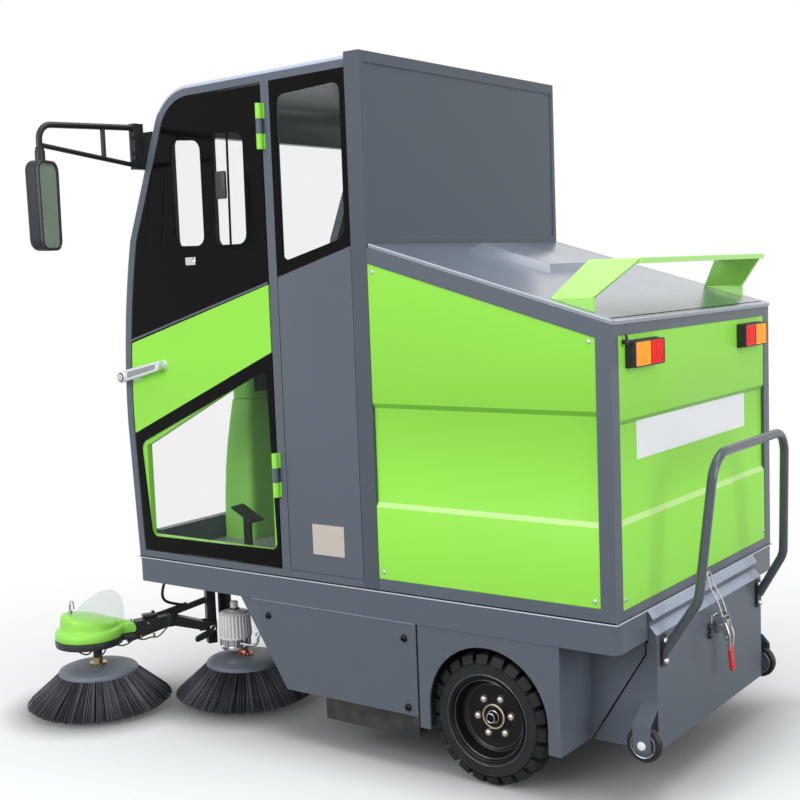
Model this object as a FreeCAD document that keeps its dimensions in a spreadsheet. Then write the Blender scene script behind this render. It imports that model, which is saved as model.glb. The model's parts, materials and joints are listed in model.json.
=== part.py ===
import FreeCAD, Part
import math
import os
import Sketcher
from FreeCAD import Placement, Rotation, Vector

# Compact ride-on street sweeper with a closed cab, a low rear body over a
# wheeled debris hopper, four side brushes and a main roller broom.
# Millimetres. The front faces -Y, the vehicle's left is +X, up is +Z, and the
# origin lies on the ground under the middle of the whole machine.

LENGTHS = {
    # Chassis
    "body_half": 560.0,
    "sill_proud": 3.0,
    "sill_base": 451.0,
    "sill_top": 534.0,
    "sill_front": 782.0,
    "sill_rear": 1037.0,
    "sill_band": 40.0,
    "sill_corner": 26.0,
    "floor_plate": 6.0,
    "rail_inner": 350.0,
    "rail_width": 25.0,
    "cross_width": 60.0,
    "kingpin_reach": 176.0,
    "kingpin_radius": 20.0,
    # Cab
    "wall_front": 200.0,
    "wall_depth": 56.0,
    "wall_top": 2110.0,
    "wall_sheet": 18.0,
    "wall_flange": 40.0,
    "wall_groove": 4.0,
    "wall_margin": 19.0,
    "wall_top_band": 33.0,
    "cab_nose": 805.0,
    "cab_top": 2103.0,
    "cab_skin": 34.0,
    "post_width": 40.0,
    "kick_height": 79.0,
    "screen_half": 505.0,
    "screen_top": 1950.0,
    "screen_inset": 10.0,
    "screen_round": 30.0,
    "glass": 5.0,
    "roof_front": 440.0,
    "pillar_front": 124.0,
    "pillar_width": 33.0,
    "side_foot": 26.0,
    "quarter_low": 1473.0,
    "quarter_high": 1556.0,
    "quarter_recess": 3.0,
    "panel_recess": 2.0,
    "panel_thick": 24.0,
    "seam": 2.5,
    # Doors
    "door_gap": 5.0,
    "door_inset": 36.0,
    "door_plate": 22.0,
    "door_pane": 7.0,
    "band_front_low": 963.0,
    "band_front_high": 1268.0,
    "band_rear_low": 1242.0,
    "band_rear_high": 1450.0,
    "pane_gap": 1.5,
    "window_side": 26.0,
    "window_foot": 50.0,
    "window_head": 42.0,
    "window_low": 1574.0,
    "window_high": 1932.0,
    "window_rear_edge": 208.0,
    "window_width": 142.0,
    "window_bar": 37.0,
    "window_round": 30.0,
    "hinge_reach": 12.0,
    "hinge_radius": 10.0,
    "hinge_upper": 1860.0,
    "hinge_lower": 791.0,
    "hinge_length": 137.0,
    "hinge_leaf": 3.0,
    "hinge_leaf_width": 13.0,
    "hinge_play": 0.3,
    "handle_front": 791.0,
    "handle_rear": 581.0,
    "handle_low": 1154.0,
    "handle_rise": 46.0,
    "handle_bar": 22.0,
    "handle_standoff": 22.0,
    "handle_lock": 18.0,
    # Rear body
    "deck_front": 1560.0,
    "deck_rear": 1332.0,
    "deck_sheet": 12.0,
    "deck_side_gap": 4.0,
    "lid_gap": 2.0,
    "body_rear": 1032.0,
    "frame_wall": 15.0,
    "frame_post": 45.0,
    "side_panel_foot": 38.0,
    "rear_panel_foot": 27.0,
    "panel_head": 46.0,
    "green_thick": 14.0,
    "green_recess": 4.0,
    "crease_depth": 9.0,
    "crease_run": 14.0,
    "crease_high": 1095.0,
    "crease_low": 802.0,
    "crease_rear_drop": 28.0,
    "hatch_half": 136.0,
    "hatch_front": 332.0,
    "hatch_rear": 623.0,
    "hatch_rise": 24.0,
    "hatch_bevel": 24.0,
    "spoiler_foot_half": 512.0,
    "spoiler_foot_front": 836.0,
    "spoiler_foot_width": 128.0,
    "spoiler_top_half": 432.0,
    "spoiler_top_front": 912.0,
    "spoiler_top_width": 153.0,
    "spoiler_top": 1489.0,
    "spoiler_sheet": 15.0,
    "lamp_inner": 292.0,
    "lamp_width": 182.0,
    "lamp_low": 1201.0,
    "lamp_height": 74.0,
    "lamp_depth": 30.0,
    # Running gear
    "tyre_radius": 195.0,
    "tyre_width": 96.0,
    "lug_height": 9.0,
    "lug_length": 44.0,
    "lug_reach": 35.0,
    "lug_lean": 10.0,
    "rim_radius": 124.0,
    "rim_wall": 7.0,
    "rim_well": 106.0,
    "well_depth": 38.0,
    "wheel_inset": 20.0,
    "axle_reach": 606.0,
    "axle_radius": 15.0,
    "hub_radius": 37.0,
    "hub_rise": 8.0,
    "web_thick": 9.0,
    "running_play": 0.05,
    "axle_plate": 14.0,
    "axle_plate_width": 190.0,
    "axle_plate_low": 130.0,
    "fork_leg": 12.0,
    "fork_width": 60.0,
    "fork_gap": 12.0,
    "fork_crown": 16.0,
    "front_axle_radius": 10.0,
    "kingpin_collar": 42.0,
    "seat_play": 0.3,
    # Skirts and wheel housings
    "skirt_sheet": 7.0,
    "skirt_low": 171.0,
    "skirt_front_top": 311.0,
    "skirt_front_low": 127.0,
    "skirt_rear": 382.0,
    "housing_front": 388.0,
    "housing_rear": 858.0,
    "housing_low": 141.0,
    "arch_radius": 197.0,
    "arch_rise": 21.0,
    "arch_reach": 621.0,
    "flap_front": 26.0,
    "flap_rear": 380.0,
    "flap_low": 103.0,
    "flap_lap": 30.0,
    "flap_sheet": 6.0,
    # Hopper
    "hopper_half": 385.0,
    "hopper_drawer_half": 340.0,
    "hopper_low": 140.0,
    "hopper_high": 443.0,
    "hopper_front": 440.0,
    "hopper_wall": 12.0,
    "hopper_rear": 1064.0,
    "hopper_seam_low": 863.0,
    "hopper_seam_bend": 410.0,
    "hopper_seam_gap": 5.0,
    "hopper_chamfer_low": 467.0,
    "hopper_chamfer_high": 496.0,
    "hopper_lip_sheet": 6.0,
    "hopper_lip_reach": 16.0,
    "hopper_lip_drop": 30.0,
    "caster_half": 428.0,
    "caster_setback": 21.0,
    "caster_height": 174.0,
    "caster_radius": 51.0,
    "caster_width": 26.0,
    "caster_plate": 5.0,
    "caster_side_gap": 3.0,
    "caster_top_gap": 7.0,
    "caster_drop": 46.0,
    "caster_tail": 18.0,
    "caster_axle": 6.0,
    "caster_strap": 52.0,
    "grip_radius": 13.5,
    "grip_foot_half": 350.0,
    "grip_foot_height": 418.0,
    "grip_bow_stand": 96.0,
    "grip_bow_height": 560.0,
    "grip_bow_half": 325.0,
    "grip_top_half": 268.0,
    "grip_top": 954.0,
    "grip_top_stand": 123.0,
    "grip_bend": 85.0,
    "grip_flange": 8.0,
    "grip_foot_plate": 32.0,
    "grip_foot_rise": 84.0,
    "latch_base": 44.0,
    "latch_base_low": 372.0,
    "latch_base_high": 436.0,
    "latch_plate": 8.0,
    "latch_pivot": 424.0,
    "latch_reach": 34.0,
    "latch_lever": 26.0,
    "latch_tip": 236.0,
    "latch_tip_reach": 78.0,
    "latch_bar": 9.0,
    "latch_wire": 5.0,
    "latch_wire_half": 13.0,
    "latch_wire_top": 550.0,
    "keeper_half": 9.0,
    "keeper_low": 538.0,
    "keeper_high": 557.0,
    "keeper_reach": 16.0,
    "keeper_play": 2.0,
    # Sweeping gear
    "brush_radius": 250.0,
    "brush_floor": 3.0,
    "brush_disc": 141.0,
    "brush_disc_low": 122.0,
    "brush_disc_edge": 12.0,
    "brush_disc_top": 150.0,
    "brush_disc_crown": 60.0,
    "tuft_root": 96.0,
    "tuft_depth": 32.0,
    "tuft_tip_width": 34.0,
    "tuft_root_width": 13.0,
    "outer_half": 628.0,
    "outer_reach": 947.0,
    "inner_half": 290.0,
    "inner_reach": 563.0,
    "post_half": 273.0,
    "post_reach": 740.0,
    "post_side": 33.0,
    "post_low": 163.0,
    "pivot_height": 232.0,
    "pivot_radius": 8.0,
    "cheek": 7.0,
    "arm_start": 32.0,
    "arm_knee": 150.0,
    "knee_low": 252.0,
    "knee_high": 290.0,
    "horn_root": 192.0,
    "horn_root_low": 260.0,
    "horn_tail": 12.0,
    "horn_low": 310.0,
    "horn_depth": 22.0,
    "horn_plate": 10.0,
    "horn_gap": 5.0,
    "beam_tip": 104.0,
    "beam_drop": 14.0,
    "beam_rise": 36.0,
    "arm_width": 46.0,
    "arm_depth": 32.0,
    "cover_radius": 115.0,
    "cover_shift": 25.0,
    "nose_reach": 134.0,
    "nose_width": 62.0,
    "nose_rise": 43.0,
    "cover_low": 226.0,
    "cover_base": 20.0,
    "cover_step": 32.0,
    "cover_high": 320.0,
    "cover_step_in": 16.0,
    "cover_top_in": 14.0,
    "shaft_radius": 12.0,
    "motor_radius": 58.0,
    "motor_fin_rise": 5.0,
    "motor_low": 163.0,
    "motor_flange": 50.0,
    "motor_rib_low": 203.0,
    "motor_high": 301.0,
    "motor_cap_radius": 19.0,
    "motor_cap_high": 338.0,
    "motor_offset": 42.0,
    "motor_fin": 5.0,
    "bracket_plate": 12.0,
    "bracket_reach": 82.0,
    "bracket_width": 60.0,
    "broom_radius": 147.0,
    "broom_core": 60.0,
    "broom_half": 335.0,
    "broom_reach": 200.0,
    "broom_strip": 16.0,
    "broom_bracket": 12.0,
    "broom_bracket_width": 80.0,
    # Inside the cab
    "console_half_low": 188.0,
    "console_half_high": 108.0,
    "console_front": 742.0,
    "console_depth_low": 150.0,
    "console_depth_high": 100.0,
    "console_seam": 1034.0,
    "console_top": 1180.0,
    "seat_half": 225.0,
    "seat_front": 190.0,
    "seat_rear": 180.0,
    "seat_base_half": 185.0,
    "seat_base_top": 850.0,
    "cushion_thick": 100.0,
    "backrest_top": 1400.0,
    "backrest_thick": 95.0,
    "backrest_head": 66.0,
    "wheel_rim_radius": 172.0,
    "wheel_rim_tube": 13.0,
    "wheel_spoke": 20.0,
    "wheel_spoke_plate": 8.0,
    "wheel_hub": 42.0,
    "wheel_hub_depth": 30.0,
    "column_clear": 1.0,
    "wheel_reach": 430.0,
    "wheel_height": 1270.0,
    "column_radius": 20.0,
    "pedal_half": 305.0,
    "pedal_reach": 505.0,
    "pedal_height": 658.0,
    "pedal_length": 90.0,
    "pedal_width": 64.0,
    "pedal_plate": 7.0,
    "pedal_stalk": 14.0,
    "battery_half": 400.0,
    "battery_front": 300.0,
    "battery_rear": 720.0,
    "battery_top": 900.0,
    # Mirrors
    "mirror_reach": 655.0,
    "mirror_tube": 10.0,
    "mirror_tube_height": 1958.0,
    "mirror_tube_rise": 14.0,
    "mirror_brace_height": 1851.0,
    "mirror_outer": 973.0,
    "mirror_drop": 1897.0,
    "mirror_strut": 722.0,
    "mirror_bend": 48.0,
    "mirror_head_width": 124.0,
    "mirror_head_low": 1578.0,
    "mirror_head_high": 1849.0,
    "mirror_head_depth": 52.0,
    "mirror_head_round": 34.0,
    "mirror_rim": 10.0,
    "mirror_recess": 6.0,
    "mirror_bracket": 26.0,
    "mirror_bracket_inner": 532.0,
    "mirror_bracket_outer": 600.0,
    "mirror_brace_tube": 8.0,
    # Shared clearance
    "overrun": 400.0,
}

COUNTS = {
    "lug_count": 22,
    "tuft_count": 36,
    "fin_count": 20,
    "strip_count": 8,
    "tube_sides": 10,
    "rim_sides": 6,
}

# Degrees
ANGLES = {
    "mirror_turn": 22.0,
}

# The cab's side outline, from the foot of the windscreen to the rear of the
# roof: shares of the cab's depth and height, with the way inwards at each.
CAB_SHARES = {
    "foot": (0.977, 0.0),
    "nose": (1.0, 0.297),
    "cheek": (0.988, 0.482),
    "brow": (0.938, 0.688),
    "shoulder": (0.799, 0.911),
    "crown": (0.751, 0.962),
    "roof": (0.646, 0.992),
    "rear": (0.0, 1.0),
}
CAB_INWARD_SHARES = {
    "foot": (1.0, 0.0),
    "nose": (1.0, 0.0),
    "cheek": (1.0, 0.0),
    "brow": (0.98, -0.2),
    "shoulder": (0.88, -0.47),
    "crown": (0.72, -0.7),
    "roof": (0.2, -1.0),
    "rear": (0.0, -1.0),
}


class Size:
    """A length with its number and the formula that binds it to the sheet."""

    def __init__(self, number, formula):
        self.number = number
        self.formula = formula

    def __add__(self, other):
        other = as_size(other)
        return Size(self.number + other.number, "(%s + %s)" % (self.formula, other.formula))

    def __sub__(self, other):
        other = as_size(other)
        return Size(self.number - other.number, "(%s - %s)" % (self.formula, other.formula))

    def __mul__(self, other):
        other = as_size(other)
        return Size(self.number * other.number, "(%s * %s)" % (self.formula, other.formula))

    def __truediv__(self, other):
        other = as_size(other)
        return Size(self.number / other.number, "(%s / %s)" % (self.formula, other.formula))

    def __neg__(self):
        return Size(-self.number, "(0 - %s)" % self.formula)


def as_size(term):
    if isinstance(term, Size):
        return term
    return Size(float(term), "%.9f" % term)


ZERO = Size(0.0, "0")

doc = FreeCAD.newDocument("StreetSweeper")
sheet = doc.addObject("Spreadsheet::Sheet", "Sizes")
NODES = {}


class Sheet:
    """Every named size of the sheet as an attribute."""


s = Sheet()


def fill_sheet():
    rows = list(LENGTHS.items()) + list(COUNTS.items()) + list(ANGLES.items())
    for row, (name, number) in enumerate(rows, start=1):
        sheet.set("A%d" % row, name)
        sheet.set("B%d" % row, str(number))
        sheet.setAlias("B%d" % row, name)
    doc.recompute()
    for name, number in rows:
        setattr(s, name, Size(float(sheet.get(name)), "Sizes.%s" % name))


# Drawing and feature helpers

ROLES = {"x": "YZ_Plane", "y": "XZ_Plane", "z": "XY_Plane"}


def new_body(label):
    body = doc.addObject("PartDesign::Body", label)
    body.Label = label
    body.AllowCompound = True
    return body


def origin_part(body, role):
    return next(part for part in body.Origin.OriginFeatures if part.Role == role)


def new_sketch(body, axis, level):
    """A sketch across the axis, at the given place along it."""
    drawing = body.newObject("Sketcher::SketchObject", body.Label + "_sketch")
    drawing.AttachmentSupport = (origin_part(body, ROLES[axis]), [""])
    drawing.MapMode = "FlatFace"
    offset = -level if axis == "y" else level
    drawing.AttachmentOffset = Placement(Vector(0, 0, offset.number), Rotation())
    drawing.setExpression("AttachmentOffset.Base.z", offset.formula)
    return drawing


def hold_point(drawing, item, vertex, x, y):
    """Ties a point of the drawing to two sizes, measured from its origin."""
    for kind, value, line in (("DistanceX", x, -2), ("DistanceY", y, -1)):
        if value.formula == ZERO.formula:
            drawing.addConstraint(Sketcher.Constraint("PointOnObject", item, vertex, line))
            continue
        rule = Sketcher.Constraint(kind, -1, 1, item, vertex, value.number)
        index = drawing.addConstraint(rule)
        drawing.setExpression("Constraints[%d]" % index, value.formula)


def vertex_at(drawing, item, x, y):
    """1 or 2: the end of the item that lies at the given place."""
    start = drawing.getPoint(item, 1)
    end = drawing.getPoint(item, 2)
    spot = Vector(x.number, y.number, 0)
    return 1 if start.sub(spot).Length <= end.sub(spot).Length else 2


def draw(drawing, corners):
    """A closed outline. A corner is (x, y), or (x, y, via_x, via_y) where the
    stretch that leaves it is an arc through the via point."""
    first = drawing.GeometryCount
    count = len(corners)
    for index, corner in enumerate(corners):
        after = corners[(index + 1) % count]
        here = Vector(corner[0].number, corner[1].number, 0)
        there = Vector(after[0].number, after[1].number, 0)
        if len(corner) > 2:
            via = Vector(corner[2].number, corner[3].number, 0)
            drawing.addGeometry(Part.Arc(here, via, there), False)
        else:
            drawing.addGeometry(Part.LineSegment(here, there), False)
    for index, corner in enumerate(corners):
        item = first + index
        before = first + (index - 1) % count
        near = vertex_at(drawing, item, corner[0], corner[1])
        far = vertex_at(drawing, before, corner[0], corner[1])
        drawing.addConstraint(Sketcher.Constraint("Coincident", before, far, item, near))
        hold_point(drawing, item, near, corner[0], corner[1])
    for index, corner in enumerate(corners):
        if len(corner) > 2:
            via = Vector(corner[2].number, corner[3].number, 0)
            point = drawing.addGeometry(Part.Point(via), True)
            hold_point(drawing, point, 1, corner[2], corner[3])
            drawing.addConstraint(Sketcher.Constraint("PointOnObject", point, 1, first + index))


def draw_circle(drawing, x, y, radius):
    centre = Vector(x.number, y.number, 0)
    item = drawing.addGeometry(Part.Circle(centre, Vector(0, 0, 1), radius.number), False)
    hold_point(drawing, item, 3, x, y)
    index = drawing.addConstraint(Sketcher.Constraint("Radius", item, radius.number))
    drawing.setExpression("Constraints[%d]" % index, radius.formula)


def rectangle(x_low, x_high, y_low, y_high):
    return [(x_low, y_low), (x_high, y_low), (x_high, y_high), (x_low, y_high)]


def rounded(x_low, x_high, y_low, y_high, radius):
    """A rectangle with round corners."""
    bulge = radius * (1 - math.sqrt(0.5))
    return [
        (x_low + radius, y_low),
        (x_high - radius, y_low, x_high - bulge, y_low + bulge),
        (x_high, y_low + radius),
        (x_high, y_high - radius, x_high - bulge, y_high - bulge),
        (x_high - radius, y_high),
        (x_low + radius, y_high, x_low + bulge, y_high - bulge),
        (x_low, y_high - radius),
        (x_low, y_low + radius, x_low + bulge, y_low + bulge),
    ]


def add_outlines(drawing, outlines):
    for outline in outlines:
        if isinstance(outline, dict):
            draw_circle(drawing, outline["x"], outline["y"], outline["radius"])
        else:
            draw(drawing, outline)


def circle(x, y, radius):
    return {"x": x, "y": y, "radius": radius}


def pad(body, axis, low, high, *outlines):
    """Adds the outlines' solid between two places along the axis."""
    drawing = new_sketch(body, axis, high if axis == "y" else low)
    add_outlines(drawing, outlines)
    return thickness(body, "PartDesign::Pad", drawing, high - low)


def cut(body, axis, low, high, *outlines):
    """Takes the outlines' solid away between two places along the axis."""
    drawing = new_sketch(body, axis, low if axis == "y" else high)
    add_outlines(drawing, outlines)
    return thickness(body, "PartDesign::Pocket", drawing, high - low)


def thickness(body, kind, drawing, length):
    feature = body.newObject(kind, body.Label + "_" + kind.split("::")[1].lower())
    feature.Profile = drawing
    feature.Length = length.number
    feature.setExpression("Length", length.formula)
    body.Tip = feature
    return feature


def turn(body, axis, outline):
    """Revolves an outline: (along X, radius) about X, or (radius, height) about Z."""
    drawing = new_sketch(body, "z" if axis == "x" else "y", ZERO)
    add_outlines(drawing, [outline])
    feature = body.newObject("PartDesign::Revolution", body.Label + "_turned")
    feature.Profile = drawing
    feature.ReferenceAxis = (drawing, ["H_Axis" if axis == "x" else "V_Axis"])
    feature.Angle = 360
    body.Tip = feature
    return feature


def wedge(body, *bounds):
    """Adds a tapered block: its own X and Z ranges at both ends of its Y range."""
    block = body.newObject("PartDesign::AdditiveWedge", body.Label + "_wedge")
    bind(block, *bounds)
    body.Tip = block
    return block


def bind(block, *bounds):
    """Sets the ranges of a tapered block from sizes."""
    for group in bounds:
        for name, value in group.items():
            setattr(block, name, value.number)
            block.setExpression(name, value.formula)


def loft(body, sections):
    """Joins outlines at several heights. A section is (height, outline)."""
    drawings = []
    for level, outline in sections:
        drawing = new_sketch(body, "z", level)
        add_outlines(drawing, [outline])
        drawings.append(drawing)
    feature = body.newObject("PartDesign::AdditiveLoft", body.Label + "_loft")
    feature.Profile = drawings[0]
    feature.Sections = drawings[1:]
    body.Tip = feature
    return feature


def around(body, features, axis, count):
    """Repeats features evenly about an axis of the body."""
    pattern = body.newObject("PartDesign::PolarPattern", body.Label + "_ring")
    pattern.Originals = features
    pattern.Axis = (origin_part(body, axis), [""])
    pattern.Angle = 360
    pattern.Occurrences = int(count.number)
    pattern.setExpression("Occurrences", count.formula)
    body.Tip = pattern
    return pattern


def across(body, features):
    """Mirrors features to the other side of the body's own middle plane."""
    pattern = body.newObject("PartDesign::Mirrored", body.Label + "_mirrored")
    pattern.Originals = features
    pattern.MirrorPlane = (origin_part(body, "YZ_Plane"), [""])
    body.Tip = pattern
    return pattern


def stand(body, x, y, z, turned=0):
    """Puts a body that was drawn about its own origin where it belongs."""
    body.Placement = Placement(
        Vector(x.number, y.number, z.number), Rotation(Vector(0, 0, 1), turned))
    for name, value in (("x", x), ("y", y), ("z", z)):
        body.setExpression("Placement.Base." + name, value.formula)


def node(label, source):
    """Names the object that is written out as one sub-part."""
    source.Label = label
    NODES[label] = source
    return source


def mirrored(label, source):
    """The same piece on the machine's right side."""
    copy = doc.addObject("Part::Mirroring", label)
    copy.Source = source
    copy.Normal = Vector(1, 0, 0)
    copy.Base = Vector(0, 0, 0)
    copy.Label = label
    return copy


def pair(label, source):
    """The left piece and its mirror image as one sub-part."""
    source.Label = label + "_left_half"
    both = doc.addObject("Part::Compound", label)
    both.Links = [source, mirrored(label + "_right_half", source)]
    return node(label, both)


def left_and_right(label, source):
    """The left piece and its mirror image as two sub-parts."""
    node(label + "_left", source)
    node(label + "_right", mirrored(label + "_right", source))


# Outlines that several pieces share

def cab_point(name, inset):
    """A point of the cab's side outline, moved inwards: (Y, Z)."""
    forward, upward = CAB_SHARES[name]
    in_y, in_z = CAB_INWARD_SHARES[name]
    depth = s.cab_nose + s.wall_front
    height = s.cab_top - s.sill_top
    y = s.wall_front - depth * forward + inset * in_y
    z = s.sill_top + height * upward + inset * in_z
    return y, z


def cab_front_corners(inset):
    """The cab's outline from the nose up to the roof, at an inset."""
    return [
        cab_point("nose", inset) + cab_point("cheek", inset),
        cab_point("brow", inset),
        cab_point("shoulder", inset) + cab_point("crown", inset),
        cab_point("roof", inset),
    ]


def roof_height(y, inset):
    """Height of the roof line at a place along the machine."""
    roof_y, roof_z = cab_point("roof", inset)
    rear_y, rear_z = cab_point("rear", inset)
    slope = (rear_z.number - roof_z.number) / (rear_y.number - roof_y.number)
    return roof_z + (y - roof_y) * slope


def front_edge(height, inset):
    """Where the cab's front lies at a height: straight up to the nose, then an arc."""
    foot, nose, cheek, brow = [
        Vector(y.number, z.number, 0)
        for y, z in (cab_point(name, inset) for name in ("foot", "nose", "cheek", "brow"))]
    if height.number <= nose.y:
        rise_share = (height.number - foot.y) / (nose.y - foot.y)
        return as_size(foot.x + (nose.x - foot.x) * rise_share)
    front = Part.Circle(nose, cheek, brow)
    drop = height.number - front.Center.y
    return as_size(front.Center.x - math.sqrt(front.Radius ** 2 - drop ** 2))


def cab_side(height):
    """Where the cab's straight upper front lies at a height."""
    brow_y, brow_z = cab_point("brow", ZERO)
    shoulder_y, shoulder_z = cab_point("shoulder", ZERO)
    slope = (shoulder_y.number - brow_y.number) / (shoulder_z.number - brow_z.number)
    return brow_y + (height - brow_z) * slope


def deck_height(y):
    """Height of the sloping deck's top face at a place along the machine."""
    front = s.wall_front + s.wall_depth
    fall = (s.deck_rear - s.deck_front) / (s.body_rear - front)
    return s.deck_front + (y - front) * fall


# Chassis

def make_chassis():
    body = new_body("chassis_frame")
    half = s.body_half + s.sill_proud
    inner = half - s.sill_band
    pad(body, "z", s.sill_base, s.sill_top,
        rounded(-half, half, -s.sill_front, s.sill_rear, s.sill_corner),
        rectangle(-inner, inner, -s.sill_front + s.sill_band, s.sill_rear - s.sill_band))
    floor_low = s.sill_top - s.floor_plate
    pad(body, "z", floor_low, s.sill_top,
        rectangle(-inner, inner, -s.sill_front + s.sill_band, s.sill_rear - s.sill_band))
    rail_front = -s.sill_front + s.sill_band
    rail_rear = s.sill_rear - s.sill_band
    for low, high in ((s.rail_inner, s.rail_inner + s.rail_width),
                      (-s.rail_inner - s.rail_width, -s.rail_inner)):
        pad(body, "z", s.sill_base, floor_low, rectangle(low, high, rail_front, rail_rear))
    for middle in (-s.post_reach, -s.kingpin_reach, s.skirt_rear):
        pad(body, "z", s.sill_base, floor_low,
            rectangle(-s.rail_inner, s.rail_inner,
                      middle - s.cross_width / 2, middle + s.cross_width / 2))
    boss = s.kingpin_collar
    pad(body, "z", s.sill_base, floor_low, circle(ZERO, -s.kingpin_reach, boss))
    cut(body, "z", s.sill_base - s.overrun, floor_low,
        circle(ZERO, -s.kingpin_reach, s.kingpin_radius + s.running_play))
    node("chassis_frame", body)


def make_rear_axle():
    """Side plates under the rails with a stub shaft for each rear wheel."""
    body = new_body("rear_axle")
    plate_in = s.rail_inner + s.rail_width
    plate_out = plate_in + s.axle_plate
    y_low = s.axle_reach - s.axle_plate_width / 2
    y_high = s.axle_reach + s.axle_plate_width / 2
    quarter = s.axle_plate_width / 4
    pad(body, "x", plate_in, plate_out, [
        (s.axle_reach - quarter, s.axle_plate_low),
        (s.axle_reach + quarter, s.axle_plate_low),
        (y_high, s.tyre_radius + quarter),
        (y_high, s.sill_top - s.floor_plate),
        (y_low, s.sill_top - s.floor_plate),
        (y_low, s.tyre_radius + quarter)])
    pad(body, "x", plate_out, s.body_half - s.wheel_inset - s.well_depth,
        circle(s.axle_reach, s.tyre_radius, s.axle_radius))
    pair("rear_axle", body)


# Cab

def screen_outline(gap):
    """The windscreen's opening, or the glass at a gap from it: (X, Z)."""
    half = s.screen_half - gap
    return rounded(-half, half, s.sill_top + s.kick_height + gap, s.screen_top - gap,
                   s.screen_round - gap)


def make_cab_frame():
    body = new_body("cab_frame")
    rear = s.wall_front
    outer = [(rear, s.sill_top), cab_point("foot", ZERO)]
    pad(body, "x", -s.body_half, s.body_half,
        outer + cab_front_corners(ZERO) + [(rear, roof_height(rear, ZERO))])
    inside = s.body_half - s.post_width
    foot_y = cab_point("foot", s.cab_skin)[0]
    cut(body, "x", -inside, inside,
        [(rear, s.sill_top), (foot_y, s.sill_top)] + cab_front_corners(s.cab_skin)
        + [(rear, roof_height(rear, s.cab_skin))])
    cut(body, "x", -s.body_half, s.body_half, door_outline(s.door_inset, ZERO))
    cut(body, "x", -s.body_half, s.body_half, side_opening())
    cut(body, "y", -s.cab_nose - s.overrun, -s.roof_front - s.cab_skin, screen_outline(ZERO))
    cut(body, "z", s.screen_top, s.cab_top + s.overrun,
        rectangle(-inside, inside, -s.roof_front, rear))
    node("cab_frame", body)


def door_outline(inset, gap):
    """The door opening's outline, or the door's own at a gap from it."""
    rear = -s.pillar_front - gap
    low = s.sill_top + s.side_foot + gap
    return ([(rear, low), (front_edge(low, inset + gap), low)]
            + cab_front_corners(inset + gap) + [(rear, roof_height(rear, inset + gap))])


def side_opening():
    """Between the middle post and the wall: panel below, window above."""
    front = s.pillar_width - s.pillar_front
    rear = s.wall_front
    low = s.sill_top + s.side_foot
    return [(front, low), (rear, low), (rear, roof_height(rear, s.door_inset)),
            (front, roof_height(front, s.door_inset))]


def make_mid_panels():
    body = new_body("mid_panel")
    front = s.pillar_width - s.pillar_front
    rear = s.wall_front
    low = s.sill_top + s.side_foot
    outer = s.body_half - s.panel_recess
    pad(body, "x", outer - s.panel_thick, outer,
        [(front, low), (rear, low), (rear, s.quarter_high), (front, s.quarter_low)])
    gap = s.seam
    pad(body, "x", outer, s.body_half,
        [(front + gap, low + gap), (rear - gap, low + gap),
         (rear - gap, s.quarter_high - gap), (front + gap, s.quarter_low - gap)])
    pair("mid_panels", body)


def make_quarter_glass():
    body = new_body("quarter_glass")
    front = s.pillar_width - s.pillar_front
    rear = s.wall_front
    outer = s.body_half - s.quarter_recess
    pad(body, "x", outer - s.glass, outer,
        [(front, s.quarter_low), (rear, s.quarter_high),
         (rear, roof_height(rear, s.door_inset)), (front, roof_height(front, s.door_inset))])
    pair("quarter_glass", body)


def make_windscreen():
    body = new_body("windscreen")
    outside = s.screen_inset
    inside = s.screen_inset + s.glass
    nose_out = cab_point("nose", outside) + cab_point("cheek", outside)
    brow_in = cab_point("brow", inside) + cab_point("cheek", inside)
    pad(body, "x", -s.screen_half, s.screen_half,
        [cab_point("foot", outside), nose_out, cab_point("brow", outside),
         cab_point("shoulder", outside), cab_point("shoulder", inside), brow_in,
         cab_point("nose", inside), cab_point("foot", inside)])
    edge = s.screen_half + s.overrun
    cut(body, "y", -s.cab_nose - s.overrun, ZERO,
        rectangle(-edge, edge, s.sill_top - s.overrun, s.cab_top + s.overrun),
        screen_outline(s.seat_play))
    node("windscreen", body)


def make_roof():
    body = new_body("roof_panel")
    half = s.body_half - s.post_width
    front = -s.roof_front
    rear = s.wall_front
    pad(body, "x", -half, half,
        [(front, roof_height(front, s.cab_skin)), (rear, roof_height(rear, s.cab_skin)),
         (rear, roof_height(rear, ZERO)), (front, roof_height(front, ZERO))])
    node("roof_panel", body)


def make_cab_wall():
    body = new_body("cab_wall")
    front = s.wall_front
    rear = front + s.wall_depth
    pad(body, "y", front, rear, rectangle(-s.body_half, s.body_half, s.sill_top, s.wall_top))
    inside = s.body_half - s.wall_flange
    cut(body, "y", front, rear - s.wall_sheet,
        rectangle(-inside, inside, s.sill_top + s.wall_flange, s.wall_top - s.wall_flange))
    face = s.body_half - s.wall_margin
    cut(body, "y", rear - s.wall_groove, rear,
        rectangle(-face, face, s.deck_front + s.wall_margin, s.wall_top - s.wall_top_band))
    node("cab_wall", body)


# Doors

def green_band(gap):
    """The door's painted band between its two panes: (Y, Z) corners."""
    inset = s.door_inset + s.door_gap
    low = s.band_front_low + gap
    high = s.band_front_high - gap
    middle = (low + high) / 2
    rear = -s.pillar_front - s.door_gap
    return [(front_edge(low, inset), low), (rear, s.band_rear_low + gap),
            (rear, s.band_rear_high - gap),
            (front_edge(high, inset), high, front_edge(middle, inset), middle)]


def lower_window():
    """The clear part of the lower pane."""
    band = green_band(ZERO)
    outline = door_outline(s.door_inset, s.door_gap)
    rear, foot = outline[0]
    front = outline[1][0] + s.window_side
    return [(front, foot + s.window_foot), (rear - s.window_side, foot + s.window_foot),
            (rear - s.window_side, band[1][1] - s.window_head), (front, band[0][1] - s.window_head)]


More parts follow.
